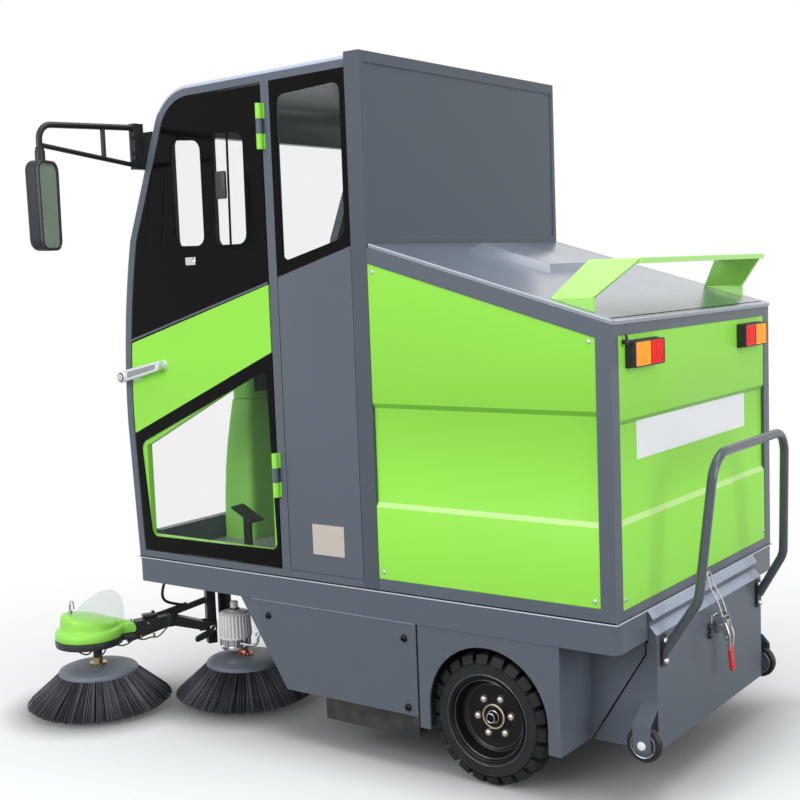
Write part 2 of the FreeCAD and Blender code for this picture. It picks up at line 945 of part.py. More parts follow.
def upper_windows():
    """The two clear windows of the upper pane."""
    rear_high = -s.window_rear_edge
    panes = []
    for place in (0, 1):
        rear = rear_high - (s.window_width + s.window_bar) * place
        panes.append(rounded(rear - s.window_width, rear, s.window_low, s.window_high,
                             s.window_round))
    return panes


def make_doors():
    body = new_body("door")
    outer = s.body_half
    back = outer - s.door_pane
    pad(body, "x", back - s.door_plate, back, door_outline(s.door_inset, s.door_gap))
    pad(body, "x", back, outer, green_band(ZERO))
    cut(body, "x", back - s.door_plate, outer, lower_window())
    cut(body, "x", back - s.door_plate, outer, *upper_windows())
    third = s.hinge_length / 3
    axis_x = s.body_half + s.hinge_reach
    rear = -s.pillar_front - s.door_gap
    for low in (s.hinge_upper, s.hinge_lower):
        start = low + third + s.hinge_play
        end = low + third * 2 - s.hinge_play
        pad(body, "z", start, end, circle(axis_x, -s.pillar_front, s.hinge_radius))
        pad(body, "z", start, end,
            rectangle(outer, outer + s.hinge_leaf, rear - s.hinge_leaf_width, -s.pillar_front))
        pad(body, "z", start, end,
            rectangle(back - s.hinge_leaf, outer, rear - s.hinge_leaf_width, rear))
    left_and_right("door", body)


def make_door_hinges():
    """The two outer barrels of each hinge, on the middle post."""
    body = new_body("door_hinges")
    third = s.hinge_length / 3
    axis_x = s.body_half + s.hinge_reach
    for low in (s.hinge_upper, s.hinge_lower):
        for start in (low, low + third * 2):
            pad(body, "z", start, start + third,
                circle(axis_x, -s.pillar_front, s.hinge_radius))
            pad(body, "z", start, start + third,
                rectangle(s.body_half, s.body_half + s.hinge_leaf,
                          -s.pillar_front, s.hinge_leaf_width - s.pillar_front))
    pair("door_hinges", body)


def make_door_glass():
    body = new_body("door_glass")
    band = green_band(ZERO)
    inset = s.door_inset + s.door_gap
    outline = door_outline(s.door_inset, s.door_gap)
    outer = s.body_half - s.pane_gap
    back = s.body_half - s.door_pane
    rear = outline[0][0]
    gap = s.pane_gap
    pad(body, "x", back, outer,
        [outline[0], outline[1], (band[0][0], band[0][1] - gap), (rear, band[1][1] - gap)])
    low = band[3][1] + gap
    brow_y, brow_z = cab_point("brow", inset)
    middle = (low + brow_z) / 2
    pad(body, "x", back, outer,
        [(rear, band[2][1] + gap),
         (front_edge(low, inset), low, front_edge(middle, inset), middle),
         (brow_y, brow_z), cab_point("shoulder", inset) + cab_point("crown", inset),
         cab_point("roof", inset), outline[-1]])
    third = s.hinge_length / 3
    for start in (s.hinge_upper + third, s.hinge_lower + third):
        cut(body, "x", back, outer,
            rectangle(rear - s.hinge_leaf_width - gap, rear, start, start + third))
    left_and_right("door_glass", body)


def make_door_handles():
    body = new_body("door_handle")
    base = s.body_half
    near = base + s.handle_standoff
    half = s.handle_bar / 2
    low = s.handle_low
    high = s.handle_low + s.handle_rise
    front = -s.handle_front
    rear = -s.handle_rear
    pad(body, "x", near - half, near + half,
        [(front, low - half), (rear, high - half), (rear, high + half), (front, low + half)])
    pad(body, "x", base, near, circle(front + s.door_inset + s.handle_lock, low, s.handle_lock))
    pad(body, "x", base, near, circle(rear - half, high - half / 2, half))
    left_and_right("door_handle", body)


# Rear body

def make_body_frame():
    body = new_body("body_frame")
    front = s.wall_front + s.wall_depth
    rear = s.body_rear
    top_front = deck_height(front) - s.deck_sheet
    top_rear = deck_height(rear) - s.deck_sheet
    pad(body, "x", -s.body_half, s.body_half,
        [(front, s.sill_top), (rear, s.sill_top), (rear, top_rear), (front, top_front)])
    inside = s.body_half - s.frame_wall
    cut(body, "z", s.sill_top, s.deck_front,
        rectangle(-inside, inside, front, rear - s.frame_wall))
    cut(body, "x", -s.body_half, s.body_half, side_panel_outline())
    opening = s.body_half - s.frame_post
    cut(body, "y", rear - s.frame_wall, rear,
        rectangle(-opening, opening, s.sill_top + s.rear_panel_foot, top_rear - s.lamp_depth))
    pad(body, "y", rear, rear + s.keeper_reach,
        rectangle(-s.keeper_half, s.keeper_half, s.keeper_low, s.keeper_high))
    node("body_frame", body)


def side_panel_outline():
    front = s.wall_front + s.wall_depth
    rear = s.body_rear - s.frame_post
    low = s.sill_top + s.side_panel_foot
    drop = s.deck_sheet + s.panel_head
    return [(front, low), (rear, low), (rear, deck_height(rear) - drop),
            (front, deck_height(front) - drop)]


def creased(base, outer, low, high, crease_low, crease_high):
    """A panel's section with its middle band pressed in: (depth, height)."""
    sunk = outer - s.crease_depth
    run = s.crease_run
    return [(base, low), (outer, low), (outer, crease_low - run), (sunk, crease_low),
            (sunk, crease_high - run), (outer, crease_high), (outer, high), (base, high)]


def make_side_panels():
    body = new_body("side_panel")
    outer = s.body_half - s.green_recess / 2
    outline = side_panel_outline()
    front, low = outline[0]
    rear = outline[1][0]
    pad(body, "y", front, rear,
        creased(outer - s.green_thick, outer, low, outline[3][1], s.crease_low, s.crease_high))
    cut(body, "x", ZERO, s.body_half,
        [outline[3], outline[2], (rear, s.deck_front), (front, s.deck_front)])
    pair("side_panels", body)


def make_rear_panel():
    body = new_body("rear_panel")
    half = s.body_half - s.frame_post
    outer = s.body_rear - s.green_recess / 2
    high = deck_height(s.body_rear) - s.deck_sheet - s.lamp_depth
    pad(body, "x", -half, half,
        creased(outer - s.green_thick, outer, s.sill_top + s.rear_panel_foot, high,
                s.crease_low, s.crease_high - s.crease_rear_drop))
    node("rear_panel", body)


def make_deck_lid():
    """The lid's rounded front edge is its hinge; a bevelled hatch stands on it."""
    body = new_body("deck_lid_sheet")
    under = s.deck_sheet - s.seat_play
    nose = under / 2
    front = s.wall_front + s.wall_depth + s.lid_gap + nose
    rear = s.sill_rear
    half = s.body_half - s.deck_side_gap
    pad(body, "x", -half, half,
        [(front, deck_height(front) - under), (rear, deck_height(rear) - under),
         (rear, deck_height(rear)),
         (front, deck_height(front), front - nose, deck_height(front) - nose)])
    run = s.hatch_rear - s.hatch_front
    fall = deck_height(s.hatch_front) - deck_height(s.hatch_rear)
    slope = math.hypot(run.number, fall.number)
    hatch = doc.addObject("Part::Wedge", "deck_hatch")
    bounds = {
        "Xmin": -s.hatch_half, "Xmax": s.hatch_half, "X2min": s.hatch_bevel - s.hatch_half,
        "X2max": s.hatch_half - s.hatch_bevel, "Zmin": ZERO, "Zmax": as_size(slope),
        "Z2min": s.hatch_bevel, "Z2max": as_size(slope) - s.hatch_bevel,
        "Ymin": ZERO, "Ymax": s.hatch_rise}
    bind(hatch, bounds)
    along = Vector(0, run.number, -fall.number).normalize()
    upward = Vector(0, fall.number, run.number).normalize()
    hatch.Placement = Placement(
        Vector(0, s.hatch_front.number, deck_height(s.hatch_front).number),
        Rotation(Vector(-1, 0, 0), upward, along, "XYZ"))
    lid = doc.addObject("Part::Fuse", "deck_lid")
    lid.Base = body
    lid.Tool = hatch
    node("deck_lid", lid)


def make_spoiler():
    """A bent band that stands on the lid and serves as its handle."""
    body = new_body("spoiler")
    sheet_half = s.spoiler_sheet / 2
    foot_rear = s.spoiler_foot_front + s.spoiler_foot_width
    top_rear = s.spoiler_top_front + s.spoiler_top_width
    foot = deck_height(s.spoiler_foot_front)
    foot_in = s.spoiler_foot_half - sheet_half
    foot_out = s.spoiler_foot_half + sheet_half
    top_in = s.spoiler_top_half - sheet_half
    top_out = s.spoiler_top_half + sheet_half
    leg = loft(body, [
        (foot, rectangle(foot_in, foot_out, s.spoiler_foot_front, foot_rear)),
        (s.spoiler_top, rectangle(top_in, top_out, s.spoiler_top_front, top_rear))])
    across(body, [leg])
    pad(body, "z", s.spoiler_top - s.spoiler_sheet, s.spoiler_top,
        rectangle(-top_out, top_out, s.spoiler_top_front, top_rear))
    pad(body, "z", deck_height(foot_rear), foot,
        rectangle(foot_in, foot_out, s.spoiler_foot_front, foot_rear),
        rectangle(-foot_out, -foot_in, s.spoiler_foot_front, foot_rear))
    cut(body, "x", -foot_out, foot_out,
        [(s.spoiler_foot_front, deck_height(s.spoiler_foot_front)),
         (foot_rear, deck_height(foot_rear)),
         (foot_rear, deck_height(foot_rear) - s.overrun / 4),
         (s.spoiler_foot_front, deck_height(foot_rear) - s.overrun / 4)])
    node("spoiler", body)


def make_rear_lamps():
    body = new_body("rear_lamp")
    face = s.body_rear - s.green_recess / 2
    outer = s.lamp_inner + s.lamp_width
    high = s.lamp_low + s.lamp_height
    rim = s.lamp_depth / 3
    pad(body, "y", face, face + rim, rectangle(s.lamp_inner, outer, s.lamp_low, high))
    edge = rim / 2
    pad(body, "y", face + rim, face + s.lamp_depth,
        rounded(s.lamp_inner + edge, outer - edge, s.lamp_low + edge, high - edge, edge))
    pair("rear_lamps", body)


# Wheels

def make_tyre(label):
    """A carcass with wide shoulder lugs whose outer ends lean in, about its own axle."""
    body = new_body(label)
    half = s.tyre_width / 2
    tread = s.tyre_radius - s.lug_height
    turn(body, "x", rectangle(-half, half, s.rim_radius, tread))
    inner = half - s.lug_reach
    outer = half - s.lug_height / 4
    lean = half - s.lug_lean
    top = math.sqrt(s.tyre_radius.number ** 2 - (s.lug_length.number / 2) ** 2)
    height = {"Ymin": tread - s.lug_height / 2, "Ymax": as_size(top)}
    length = {"Zmin": -s.lug_length / 2, "Zmax": s.lug_length / 2,
              "Z2min": -s.lug_length / 2, "Z2max": s.lug_length / 2}
    lugs = [
        wedge(body, {"Xmin": inner, "Xmax": outer, "X2min": inner, "X2max": lean}, height, length),
        wedge(body, {"Xmin": -outer, "Xmax": -inner, "X2min": -lean, "X2max": -inner}, height, length)]
    around(body, lugs, "X_Axis", s.lug_count)
    return body


def make_rim(label, bore):
    """A pressed rim: barrel, a well that narrows to the web, and the hub."""
    body = new_body(label)
    half = s.tyre_width / 2
    inner = s.rim_radius - s.rim_wall
    web_out = half - s.well_depth - s.hub_rise
    web_in = web_out - s.web_thick
    turn(body, "x", [
        (web_in, bore), (web_out + s.hub_rise, bore), (web_out + s.hub_rise, s.hub_radius),
        (web_out, s.hub_radius), (web_out, s.rim_well), (half, inner),
        (half, s.rim_radius - s.seat_play), (-half, s.rim_radius - s.seat_play),
        (-half, inner), (web_in, s.rim_well)])
    return body


def make_wheels():
    centre = s.body_half - s.wheel_inset - s.tyre_width / 2
    tyre = make_tyre("rear_tyre")
    stand(tyre, centre, s.axle_reach, s.tyre_radius)
    left_and_right("rear_tyre", tyre)
    rim = make_rim("rear_rim", s.axle_radius + s.running_play)
    stand(rim, centre, s.axle_reach, s.tyre_radius)
    left_and_right("rear_rim", rim)
    tyre = make_tyre("front_tyre")
    stand(tyre, ZERO, -s.kingpin_reach, s.tyre_radius)
    node("front_tyre", tyre)
    rim = make_rim("front_rim", s.front_axle_radius + s.running_play)
    stand(rim, ZERO, -s.kingpin_reach, s.tyre_radius)
    node("front_rim", rim)


def make_front_fork():
    body = new_body("front_fork")
    middle = -s.kingpin_reach
    leg_in = s.tyre_width / 2 + s.fork_gap
    leg_out = leg_in + s.fork_leg
    crown_low = s.tyre_radius * 2 + s.fork_gap
    crown_high = crown_low + s.fork_crown
    half = s.fork_width / 2
    leg_low = s.tyre_radius - half
    for low, high in ((leg_in, leg_out), (-leg_out, -leg_in)):
        pad(body, "x", low, high,
            [(middle - half, crown_high), (middle - half, s.tyre_radius),
             (middle, leg_low), (middle + half, s.tyre_radius), (middle + half, crown_high)])
    pad(body, "z", crown_low, crown_high,
        rectangle(-leg_out, leg_out, middle - half, middle + half))
    pad(body, "z", crown_high, s.sill_base - s.seat_play,
        circle(ZERO, middle, s.kingpin_collar))
    pad(body, "z", s.sill_base - s.seat_play, s.sill_top - s.floor_plate - s.seat_play,
        circle(ZERO, middle, s.kingpin_radius))
    pad(body, "x", -leg_in, leg_in, circle(middle, s.tyre_radius, s.front_axle_radius))
    node("front_fork", body)


# Skirts

def make_skirts():
    body = new_body("side_skirt")
    outer = s.body_half
    inner = outer - s.skirt_sheet
    pad(body, "x", inner, outer,
        [(-s.skirt_front_low, s.skirt_low), (s.skirt_rear, s.skirt_low),
         (s.skirt_rear, s.sill_base), (-s.skirt_front_top, s.sill_base)])
    pair("side_skirts", body)


def make_wheel_housings():
    """A box round each rear wheel, with its arch, and the plate behind it."""
    body = new_body("wheel_housing")
    outer = s.body_half
    sheet_in = outer - s.skirt_sheet
    side = s.hopper_half
    front = s.housing_front
    rear = s.housing_rear
    low = s.housing_low
    arch_z = s.tyre_radius + s.arch_rise
    pad(body, "x", sheet_in, outer, rectangle(front, rear, low, s.sill_base))
    left = s.arch_reach - s.arch_radius
    right = s.arch_reach + s.arch_radius
    cut(body, "x", sheet_in, outer, [
        (left, low), (right, low), (right, arch_z, s.arch_reach, arch_z + s.arch_radius),
        (left, arch_z)])
    for start in (front, rear - s.skirt_sheet):
        pad(body, "y", start, start + s.skirt_sheet,
            rectangle(side, sheet_in, low, s.sill_base))
    seam = s.hopper_seam_gap
    pad(body, "x", side - s.skirt_sheet, side,
        [(rear - s.skirt_sheet, low), (s.hopper_seam_low - seam, low),
         (s.body_rear - seam, s.hopper_seam_bend), (s.body_rear - seam, s.sill_base),
         (rear - s.skirt_sheet, s.sill_base)])
    pair("wheel_housings", body)


def make_flaps():
    body = new_body("rubber_flap")
    outer = s.body_half - s.skirt_sheet
    pad(body, "x", outer - s.flap_sheet, outer,
        rectangle(s.flap_front, s.flap_rear, s.flap_low, s.skirt_low + s.flap_lap))
    pair("rubber_flaps", body)


# Hopper

def make_hopper():
    body = new_body("hopper_bin")
    half = s.hopper_drawer_half
    wall = s.hopper_wall
    rear = s.hopper_rear
    pad(body, "x", -s.hopper_half, s.hopper_half,
        [(s.hopper_seam_low, s.hopper_low), (rear, s.hopper_low),
         (rear, s.hopper_chamfer_low), (s.sill_rear + s.seat_play, s.hopper_chamfer_high),
         (s.sill_rear + s.seat_play, s.hopper_high), (s.body_rear, s.hopper_high),
         (s.body_rear, s.hopper_seam_bend)])
    pad(body, "z", s.hopper_low, s.hopper_high,
        rectangle(-half, half, s.hopper_front, rear - wall))
    cut(body, "z", s.hopper_low + wall, s.hopper_high + s.overrun,
        rectangle(wall - half, half - wall, s.hopper_front + wall, s.sill_rear - wall * 2))
    lip = s.hopper_lip_sheet
    face = s.sill_rear + s.seat_play
    fold = s.sill_top - s.hopper_lip_drop
    pad(body, "x", -s.hopper_half, s.hopper_half,
        [(face, s.hopper_chamfer_high - lip * 2), (face + lip, s.hopper_chamfer_high - lip * 2),
         (face + lip, fold), (face + s.hopper_lip_reach, fold),
         (face + s.hopper_lip_reach, fold + lip), (face, s.sill_top)])
    node("hopper_bin", body)


def caster_reach():
    return s.hopper_rear - s.caster_setback


def caster_bracket():
    """A bent strap from the hopper's side down to the caster's axle."""
    body = new_body("caster_bracket")
    half = s.caster_strap / 2
    middle = caster_reach()
    near = s.caster_half + s.caster_width / 2 + s.caster_side_gap
    far = near + s.caster_plate
    fold = s.caster_height + s.caster_radius + s.caster_top_gap
    root = fold + s.caster_drop
    low = s.caster_height - s.caster_tail
    pad(body, "y", middle - half, middle + half,
        [(s.hopper_half, root), (s.hopper_half, root - s.caster_plate), (near, fold - s.caster_plate),
         (near, low), (far, low), (far, fold)])
    pad(body, "x", s.hopper_half, near, circle(middle, s.caster_height, s.caster_axle))
    return body


def make_casters():
    pair("caster_brackets", caster_bracket())
    wheel = new_body("caster_wheel")
    half = s.caster_width / 2
    turn(wheel, "x", rectangle(-half, half, s.caster_axle + s.running_play, s.caster_radius))
    stand(wheel, s.caster_half, caster_reach(), s.caster_height)
    left_and_right("caster_wheel", wheel)


def tube_ring(centre, way, radius):
    """A tube's section: a regular outline with many sides."""
    sides = int(s.tube_sides.number)
    turned = Rotation(Vector(0, 0, 1), way)
    corners = []
    for index in range(sides + 1):
        angle = math.tau * index / sides
        corners.append(centre + turned.multVec(
            Vector(radius * math.cos(angle), radius * math.sin(angle), 0)))
    return Part.makePolygon(corners)


def bent_tube(points, bends, radius):
    """A tube along straight runs that are joined by tangent arcs."""
    edges = []
    start = points[0]
    for index in range(1, len(points) - 1):
        before, corner, after = points[index - 1], points[index], points[index + 1]
        way_in = (corner - before).normalize()
        way_out = (after - corner).normalize()
        half_turn = way_in.getAngle(way_out) / 2
        back = bends[index - 1] * math.tan(half_turn)
        arc_start = corner - way_in * back
        arc_end = corner + way_out * back
        middle = (way_out - way_in).normalize()
        reach = bends[index - 1] / math.cos(half_turn) - bends[index - 1]
        edges.append(Part.LineSegment(start, arc_start).toShape())
        edges.append(Part.Arc(arc_start, corner + middle * reach, arc_end).toShape())
        start = arc_end
    edges.append(Part.LineSegment(start, points[-1]).toShape())
    ring = tube_ring(points[0], points[1] - points[0], radius)
    return Part.Wire(edges).makePipeShell([ring], True, False)


def part_feature(label, shape):
    feature = doc.addObject("Part::Feature", label)
    feature.Shape = shape
    return feature


def make_push_handle():
    face = s.hopper_rear.number
    reach = face + s.grip_flange.number
    left = [
        Vector(s.grip_foot_half.number, reach, s.grip_foot_height.number),
        Vector(s.grip_bow_half.number, face + s.grip_bow_stand.number, s.grip_bow_height.number),
        Vector(s.grip_top_half.number, face + s.grip_top_stand.number, s.grip_top.number),
    ]
    right = [Vector(-point.x, point.y, point.z) for point in reversed(left)]
    bend = s.grip_bend.number
    shape = bent_tube(left + right, [bend, bend, bend, bend], s.grip_radius.number)
    plate = s.grip_foot_plate.number
    rise = s.grip_foot_rise.number
    for side in (-1, 1):
        corner = Vector(side * s.grip_foot_half.number - plate / 2, face,
                        s.grip_foot_height.number - rise / 2)
        shape = shape.fuse(Part.makeBox(plate, s.grip_flange.number, rise, corner))
    edge = s.overrun.number
    behind = Part.makeBox(edge * 2, edge, edge * 2, Vector(-edge, face - edge, 0))
    node("push_handle", part_feature("push_handle", shape.cut(behind)))


def make_hopper_latch():
    """A toggle: base plate, lever with its grip, and two wires up to the keeper."""
    body = new_body("hopper_latch")
    half = s.latch_base / 2
    face = s.hopper_rear
    lever = s.latch_lever / 2
    bar = s.latch_bar
    hinge = face + s.latch_reach
    pad(body, "x", -half, half,
        rectangle(face, face + s.latch_plate, s.latch_base_low, s.latch_base_high))
    pad(body, "x", -lever, lever,
        [(face + s.latch_plate, s.latch_pivot - bar), (hinge, s.latch_pivot - bar * 2),
         (face + s.latch_tip_reach, s.latch_tip), (face + s.latch_tip_reach + bar, s.latch_tip),
         (hinge + bar, s.latch_pivot), (face + s.latch_plate, s.latch_pivot + bar)])
    keeper = s.body_rear + s.keeper_reach + s.keeper_play
    wire = s.latch_wire
    for side in (s.latch_wire_half - wire, -s.latch_wire_half):
        pad(body, "x", side, side + wire,
            [(hinge, s.latch_pivot - bar), (hinge + wire, s.latch_pivot - bar),
             (keeper + wire, s.latch_wire_top), (keeper, s.latch_wire_top)])
    node("hopper_latch", body)


# Sweeping gear

def make_brush(label):
    """A domed disc with a ring of splayed bristle tufts, about its own axis."""
    body = new_body(label)
    low = s.brush_disc_low
    turn(body, "z", [
        (ZERO, low), (s.brush_disc, low), (s.brush_disc, low + s.brush_disc_edge),
        (s.brush_disc_crown, s.brush_disc_top), (ZERO, s.brush_disc_top)])
    tuft = wedge(body, {
        "Xmin": s.brush_radius - s.tuft_depth, "Xmax": s.brush_radius,
        "Zmin": -s.tuft_tip_width / 2, "Zmax": s.tuft_tip_width / 2,
        "X2min": s.tuft_root, "X2max": s.tuft_root + s.tuft_depth,
        "Z2min": -s.tuft_root_width / 2, "Z2max": s.tuft_root_width / 2,
        "Ymin": s.brush_floor, "Ymax": low})
    tuft.Placement = Placement(Vector(), Rotation(Vector(1, 0, 0), 90))
    around(body, [tuft], "Z_Axis", s.tuft_count)
    return body


def make_brushes():
    outer = make_brush("outer_brush")
    stand(outer, s.outer_half, -s.outer_reach, ZERO)
    left_and_right("outer_brush", outer)
    inner = make_brush("inner_brush")
    stand(inner, s.inner_half, -s.inner_reach, ZERO)
    left_and_right("inner_brush", inner)


def arm_span():
    """Length and turn of the arm from its post to the outer brush."""
    along_x = s.outer_half.number - s.post_half.number
    along_y = s.post_reach.number - s.outer_reach.number
    return math.hypot(along_x, along_y), math.degrees(math.atan2(along_y, along_x))


def make_brush_arms():
    """Drawn along X from the pivot post, then turned towards the brush. A horn, which
    the lifting cable pulls, runs from the beam past the post above the pivot."""
    length, turned = arm_span()
    span = as_size(length)
    post = new_body("brush_post")
    half = s.post_side / 2
    pad(post, "z", s.post_low, s.sill_base, rectangle(-half, half, -half, half))
    cut(post, "y", -half, half, circle(ZERO, s.pivot_height, s.pivot_radius + s.running_play))
    stand(post, s.post_half, -s.post_reach, ZERO, turned)
    pair("brush_posts", post)

    arm = new_body("brush_arm")
    inner = half + s.seat_play
    outer = inner + s.cheek
    depth = s.arm_depth / 2
    high = s.pivot_height
    low = s.cover_low
    base = low + s.cover_base
    tip = span - s.beam_tip
    nose = span - s.nose_reach - s.seat_play
    for near, far in ((inner, outer), (-outer, -inner)):
        pad(arm, "y", near, far,
            rectangle(-depth, s.arm_start + depth, high - depth, high + depth))
    pad(arm, "y", -s.arm_width / 2, s.arm_width / 2,
        [(s.arm_start, high - depth), (s.arm_knee, s.knee_low), (tip, low - s.beam_drop),
         (tip, low), (nose, low), (nose, base + s.beam_rise), (s.arm_knee, s.knee_high),
         (s.arm_start, high + depth)])
    horn = half + s.horn_gap
    pad(arm, "y", -horn - s.horn_plate, -horn,
        [(s.horn_root, s.horn_root_low), (s.horn_root, s.horn_root_low + s.horn_depth),
         (-s.horn_tail, s.horn_low + s.horn_depth), (-s.horn_tail, s.horn_low)])
    pad(arm, "y", -inner, inner, circle(ZERO, high, s.pivot_radius))
    pad(arm, "z", low, base, circle(span + s.cover_shift, ZERO, s.cover_radius))
    pad(arm, "z", low, base,
        rectangle(nose, span, -s.nose_width / 2, s.nose_width / 2))
    pad(arm, "z", s.brush_disc_top + s.seat_play, low, circle(span, ZERO, s.shaft_radius))
    stand(arm, s.post_half, -s.post_reach, ZERO, turned)
    left_and_right("brush_arm", arm)

    cover = new_body("brush_cover")
    step = base + s.cover_step
    waist = s.cover_radius - s.cover_step_in
    turn(cover, "z", [
        (ZERO, base), (s.cover_radius, base), (s.cover_radius, step), (waist, step),
        (waist - s.cover_top_in, s.cover_high), (ZERO, s.cover_high)])
    pad(cover, "z", base, base + s.nose_rise,
        rectangle(-s.nose_reach - s.cover_shift, ZERO, -s.nose_width / 2, s.nose_width / 2))
    axis_x = s.outer_half + s.cover_shift * math.cos(math.radians(turned))
    axis_y = s.cover_shift * math.sin(math.radians(turned)) - s.outer_reach
    stand(cover, axis_x, axis_y, ZERO, turned)
    left_and_right("brush_cover", cover)


def make_brush_motors():
    """The inner brushes' finned drives, each hung from the cab floor by a bent plate."""
    body = new_body("brush_motor")
    plate = s.bracket_plate
    radius = s.motor_radius
    core = radius - s.motor_fin_rise
    fin = s.motor_fin / 2
    turn(body, "z", [
        (ZERO, s.motor_low), (s.motor_flange, s.motor_low), (s.motor_flange, s.motor_rib_low),
        (core, s.motor_rib_low), (core, s.motor_high), (s.motor_cap_radius, s.motor_high),
        (s.motor_cap_radius, s.motor_cap_high), (ZERO, s.motor_cap_high)])
    fins = pad(body, "z", s.motor_rib_low, s.motor_high, rectangle(core - fin, radius, -fin, fin))
    around(body, [fins], "Z_Axis", s.fin_count)
    pad(body, "z", s.motor_low, s.motor_low + plate,
        rectangle(-s.bracket_width, ZERO, -s.bracket_reach, ZERO))
    pad(body, "y", -s.bracket_reach, plate - s.bracket_reach,
        rectangle(-s.bracket_width, ZERO, s.motor_low, s.sill_top - s.floor_plate))
    pad(body, "z", s.brush_disc_top + s.seat_play, s.motor_low + plate,
        circle(ZERO, s.motor_offset, s.shaft_radius))
    stand(body, s.inner_half, -s.inner_reach - s.motor_offset, ZERO)
    pair("brush_motors", body)


def make_broom():
    body = new_body("main_broom")
    shaft = s.axle_radius
    half = s.broom_half
    end = s.rail_inner + s.broom_bracket
    turn(body, "x", [
        (-end, ZERO), (end, ZERO), (end, shaft), (half, shaft), (half, s.broom_core),
        (-half, s.broom_core), (-half, shaft), (-end, shaft)])
    strip = pad(body, "x", -half, half,
                [(-s.broom_strip / 2, s.broom_core / 2), (s.broom_strip / 2, s.broom_core / 2),
                 (s.broom_strip / 2, s.broom_radius), (-s.broom_strip / 2, s.broom_radius)])
    around(body, [strip], "X_Axis", s.strip_count)
    stand(body, ZERO, s.broom_reach, s.broom_radius + s.brush_floor)
    node("main_broom", body)


def make_broom_brackets():
    body = new_body("broom_bracket")
    centre = s.broom_radius + s.brush_floor
    half = s.broom_bracket_width / 2
    pad(body, "x", s.rail_inner, s.rail_inner + s.broom_bracket,
        [(s.broom_reach - half, s.sill_base), (s.broom_reach - half, centre),
         (s.broom_reach, centre - half, ), (s.broom_reach + half, centre),
         (s.broom_reach + half, s.sill_base)])
    cut(body, "x", s.rail_inner, s.rail_inner + s.broom_bracket,
        circle(s.broom_reach, centre, s.axle_radius + s.running_play))
    pair("broom_brackets", body)


# Inside the cab

def make_console():
    """A tapered pedestal with an upright head."""
    front = -s.console_front
    foot = doc.addObject("Part::Wedge", "console_foot")
    bounds = {
        "Xmin": -s.console_half_low, "Xmax": s.console_half_low,
        "X2min": -s.console_half_high, "X2max": s.console_half_high,
        "Zmin": -s.console_depth_low, "Zmax": ZERO,
        "Z2min": -s.console_depth_high, "Z2max": ZERO,
        "Ymin": ZERO, "Ymax": s.console_seam - s.sill_top}
    bind(foot, bounds)
    foot.Placement = Placement(
        Vector(0, front.number, s.sill_top.number), Rotation(Vector(1, 0, 0), 90))
    head = new_body("console_head")
    pad(head, "z", s.console_seam, s.console_top,
        rectangle(-s.console_half_high, s.console_half_high, front,
                  front + s.console_depth_high))
    console = doc.addObject("Part::Fuse", "dash_console")
    console.Base = foot
    console.Tool = head
    node("dash_console", console)


def make_steering_column():
    top = Vector(0, -s.wheel_reach.number, s.wheel_height.number)
    foot = Vector(0, s.console_depth_high.number - s.console_front.number,
                  s.console_seam.number)
    way = (top - foot).normalize()
    shape = Part.makeCylinder(s.column_radius.number, (top - foot).Length, foot, way)
    wall = foot.y + s.column_clear.number
    edge = s.overrun.number
    shape = shape.cut(Part.makeBox(edge, edge, edge * 2, Vector(-edge / 2, wall - edge, foot.z - edge)))
    facing = Placement(top, Rotation(Vector(0, 0, 1), way))
    tube = s.wheel_rim_tube.number
    sides = int(s.rim_sides.number)
    ring = [Vector(s.wheel_rim_radius.number + tube * math.cos(math.tau * index / sides), 0,
                   tube * math.sin(math.tau * index / sides)) for index in range(sides + 1)]
    rim = Part.Face(Part.makePolygon(ring)).revolve(Vector(), Vector(0, 0, 1), 360)
    hub = Part.makeCylinder(s.wheel_hub.number, s.wheel_hub_depth.number,
                            Vector(0, 0, -s.wheel_hub_depth.number / 2))
    wheel = rim.fuse(hub)
    spoke = s.wheel_spoke.number
    plate = s.wheel_spoke_plate.number
    for index in range(3):
        bar = Part.makeBox(s.wheel_rim_radius.number, spoke, plate, Vector(0, -spoke / 2, -plate / 2))
        bar.rotate(Vector(), Vector(0, 0, 1), index * 120)
        wheel = wheel.fuse(bar)
    wheel.Placement = facing
    node("steering_column", part_feature("steering_column", shape.fuse(wheel)))


def make_seat():
    base = new_body("seat_base")
    pad(base, "z", s.sill_top, s.seat_base_top,
        rectangle(-s.seat_base_half, s.seat_base_half, -s.seat_front, s.seat_rear))
    node("seat_base", base)
    seat = new_body("seat")
    low = s.seat_base_top + s.seat_play
    high = low + s.cushion_thick
    back = s.seat_rear - s.backrest_thick
    pad(seat, "x", -s.seat_half, s.seat_half,
        [(-s.seat_front, low), (s.seat_rear, low), (s.seat_rear, s.backrest_top),
         (s.seat_rear - s.backrest_head, s.backrest_top), (back, high),
         (-s.seat_front, high)])
    node("seat", seat)


def make_pedals():
    body = new_body("pedal")
    half = s.pedal_width / 2
    reach = -s.pedal_reach
    rise = s.pedal_length / 4
    pad(body, "x", s.pedal_half - half, s.pedal_half + half,
        [(reach - s.pedal_length / 2, s.pedal_height + rise),
         (reach + s.pedal_length / 2, s.pedal_height - rise),
         (reach + s.pedal_length / 2, s.pedal_height - rise + s.pedal_plate),
         (reach - s.pedal_length / 2, s.pedal_height + rise + s.pedal_plate)])
    pad(body, "x", s.pedal_half - s.pedal_stalk / 2, s.pedal_half + s.pedal_stalk / 2,
        [(reach - s.pedal_stalk, s.sill_top), (reach + s.pedal_stalk, s.sill_top),
         (reach + s.pedal_stalk, s.pedal_height - rise / 2),
         (reach - s.pedal_stalk, s.pedal_height + rise / 2)])
    pair("pedals", body)


def make_battery():
    body = new_body("battery_pack")
    pad(body, "z", s.sill_top, s.battery_top,
        rectangle(-s.battery_half, s.battery_half, s.battery_front, s.battery_rear))
    node("battery_pack", body)


# Mirrors

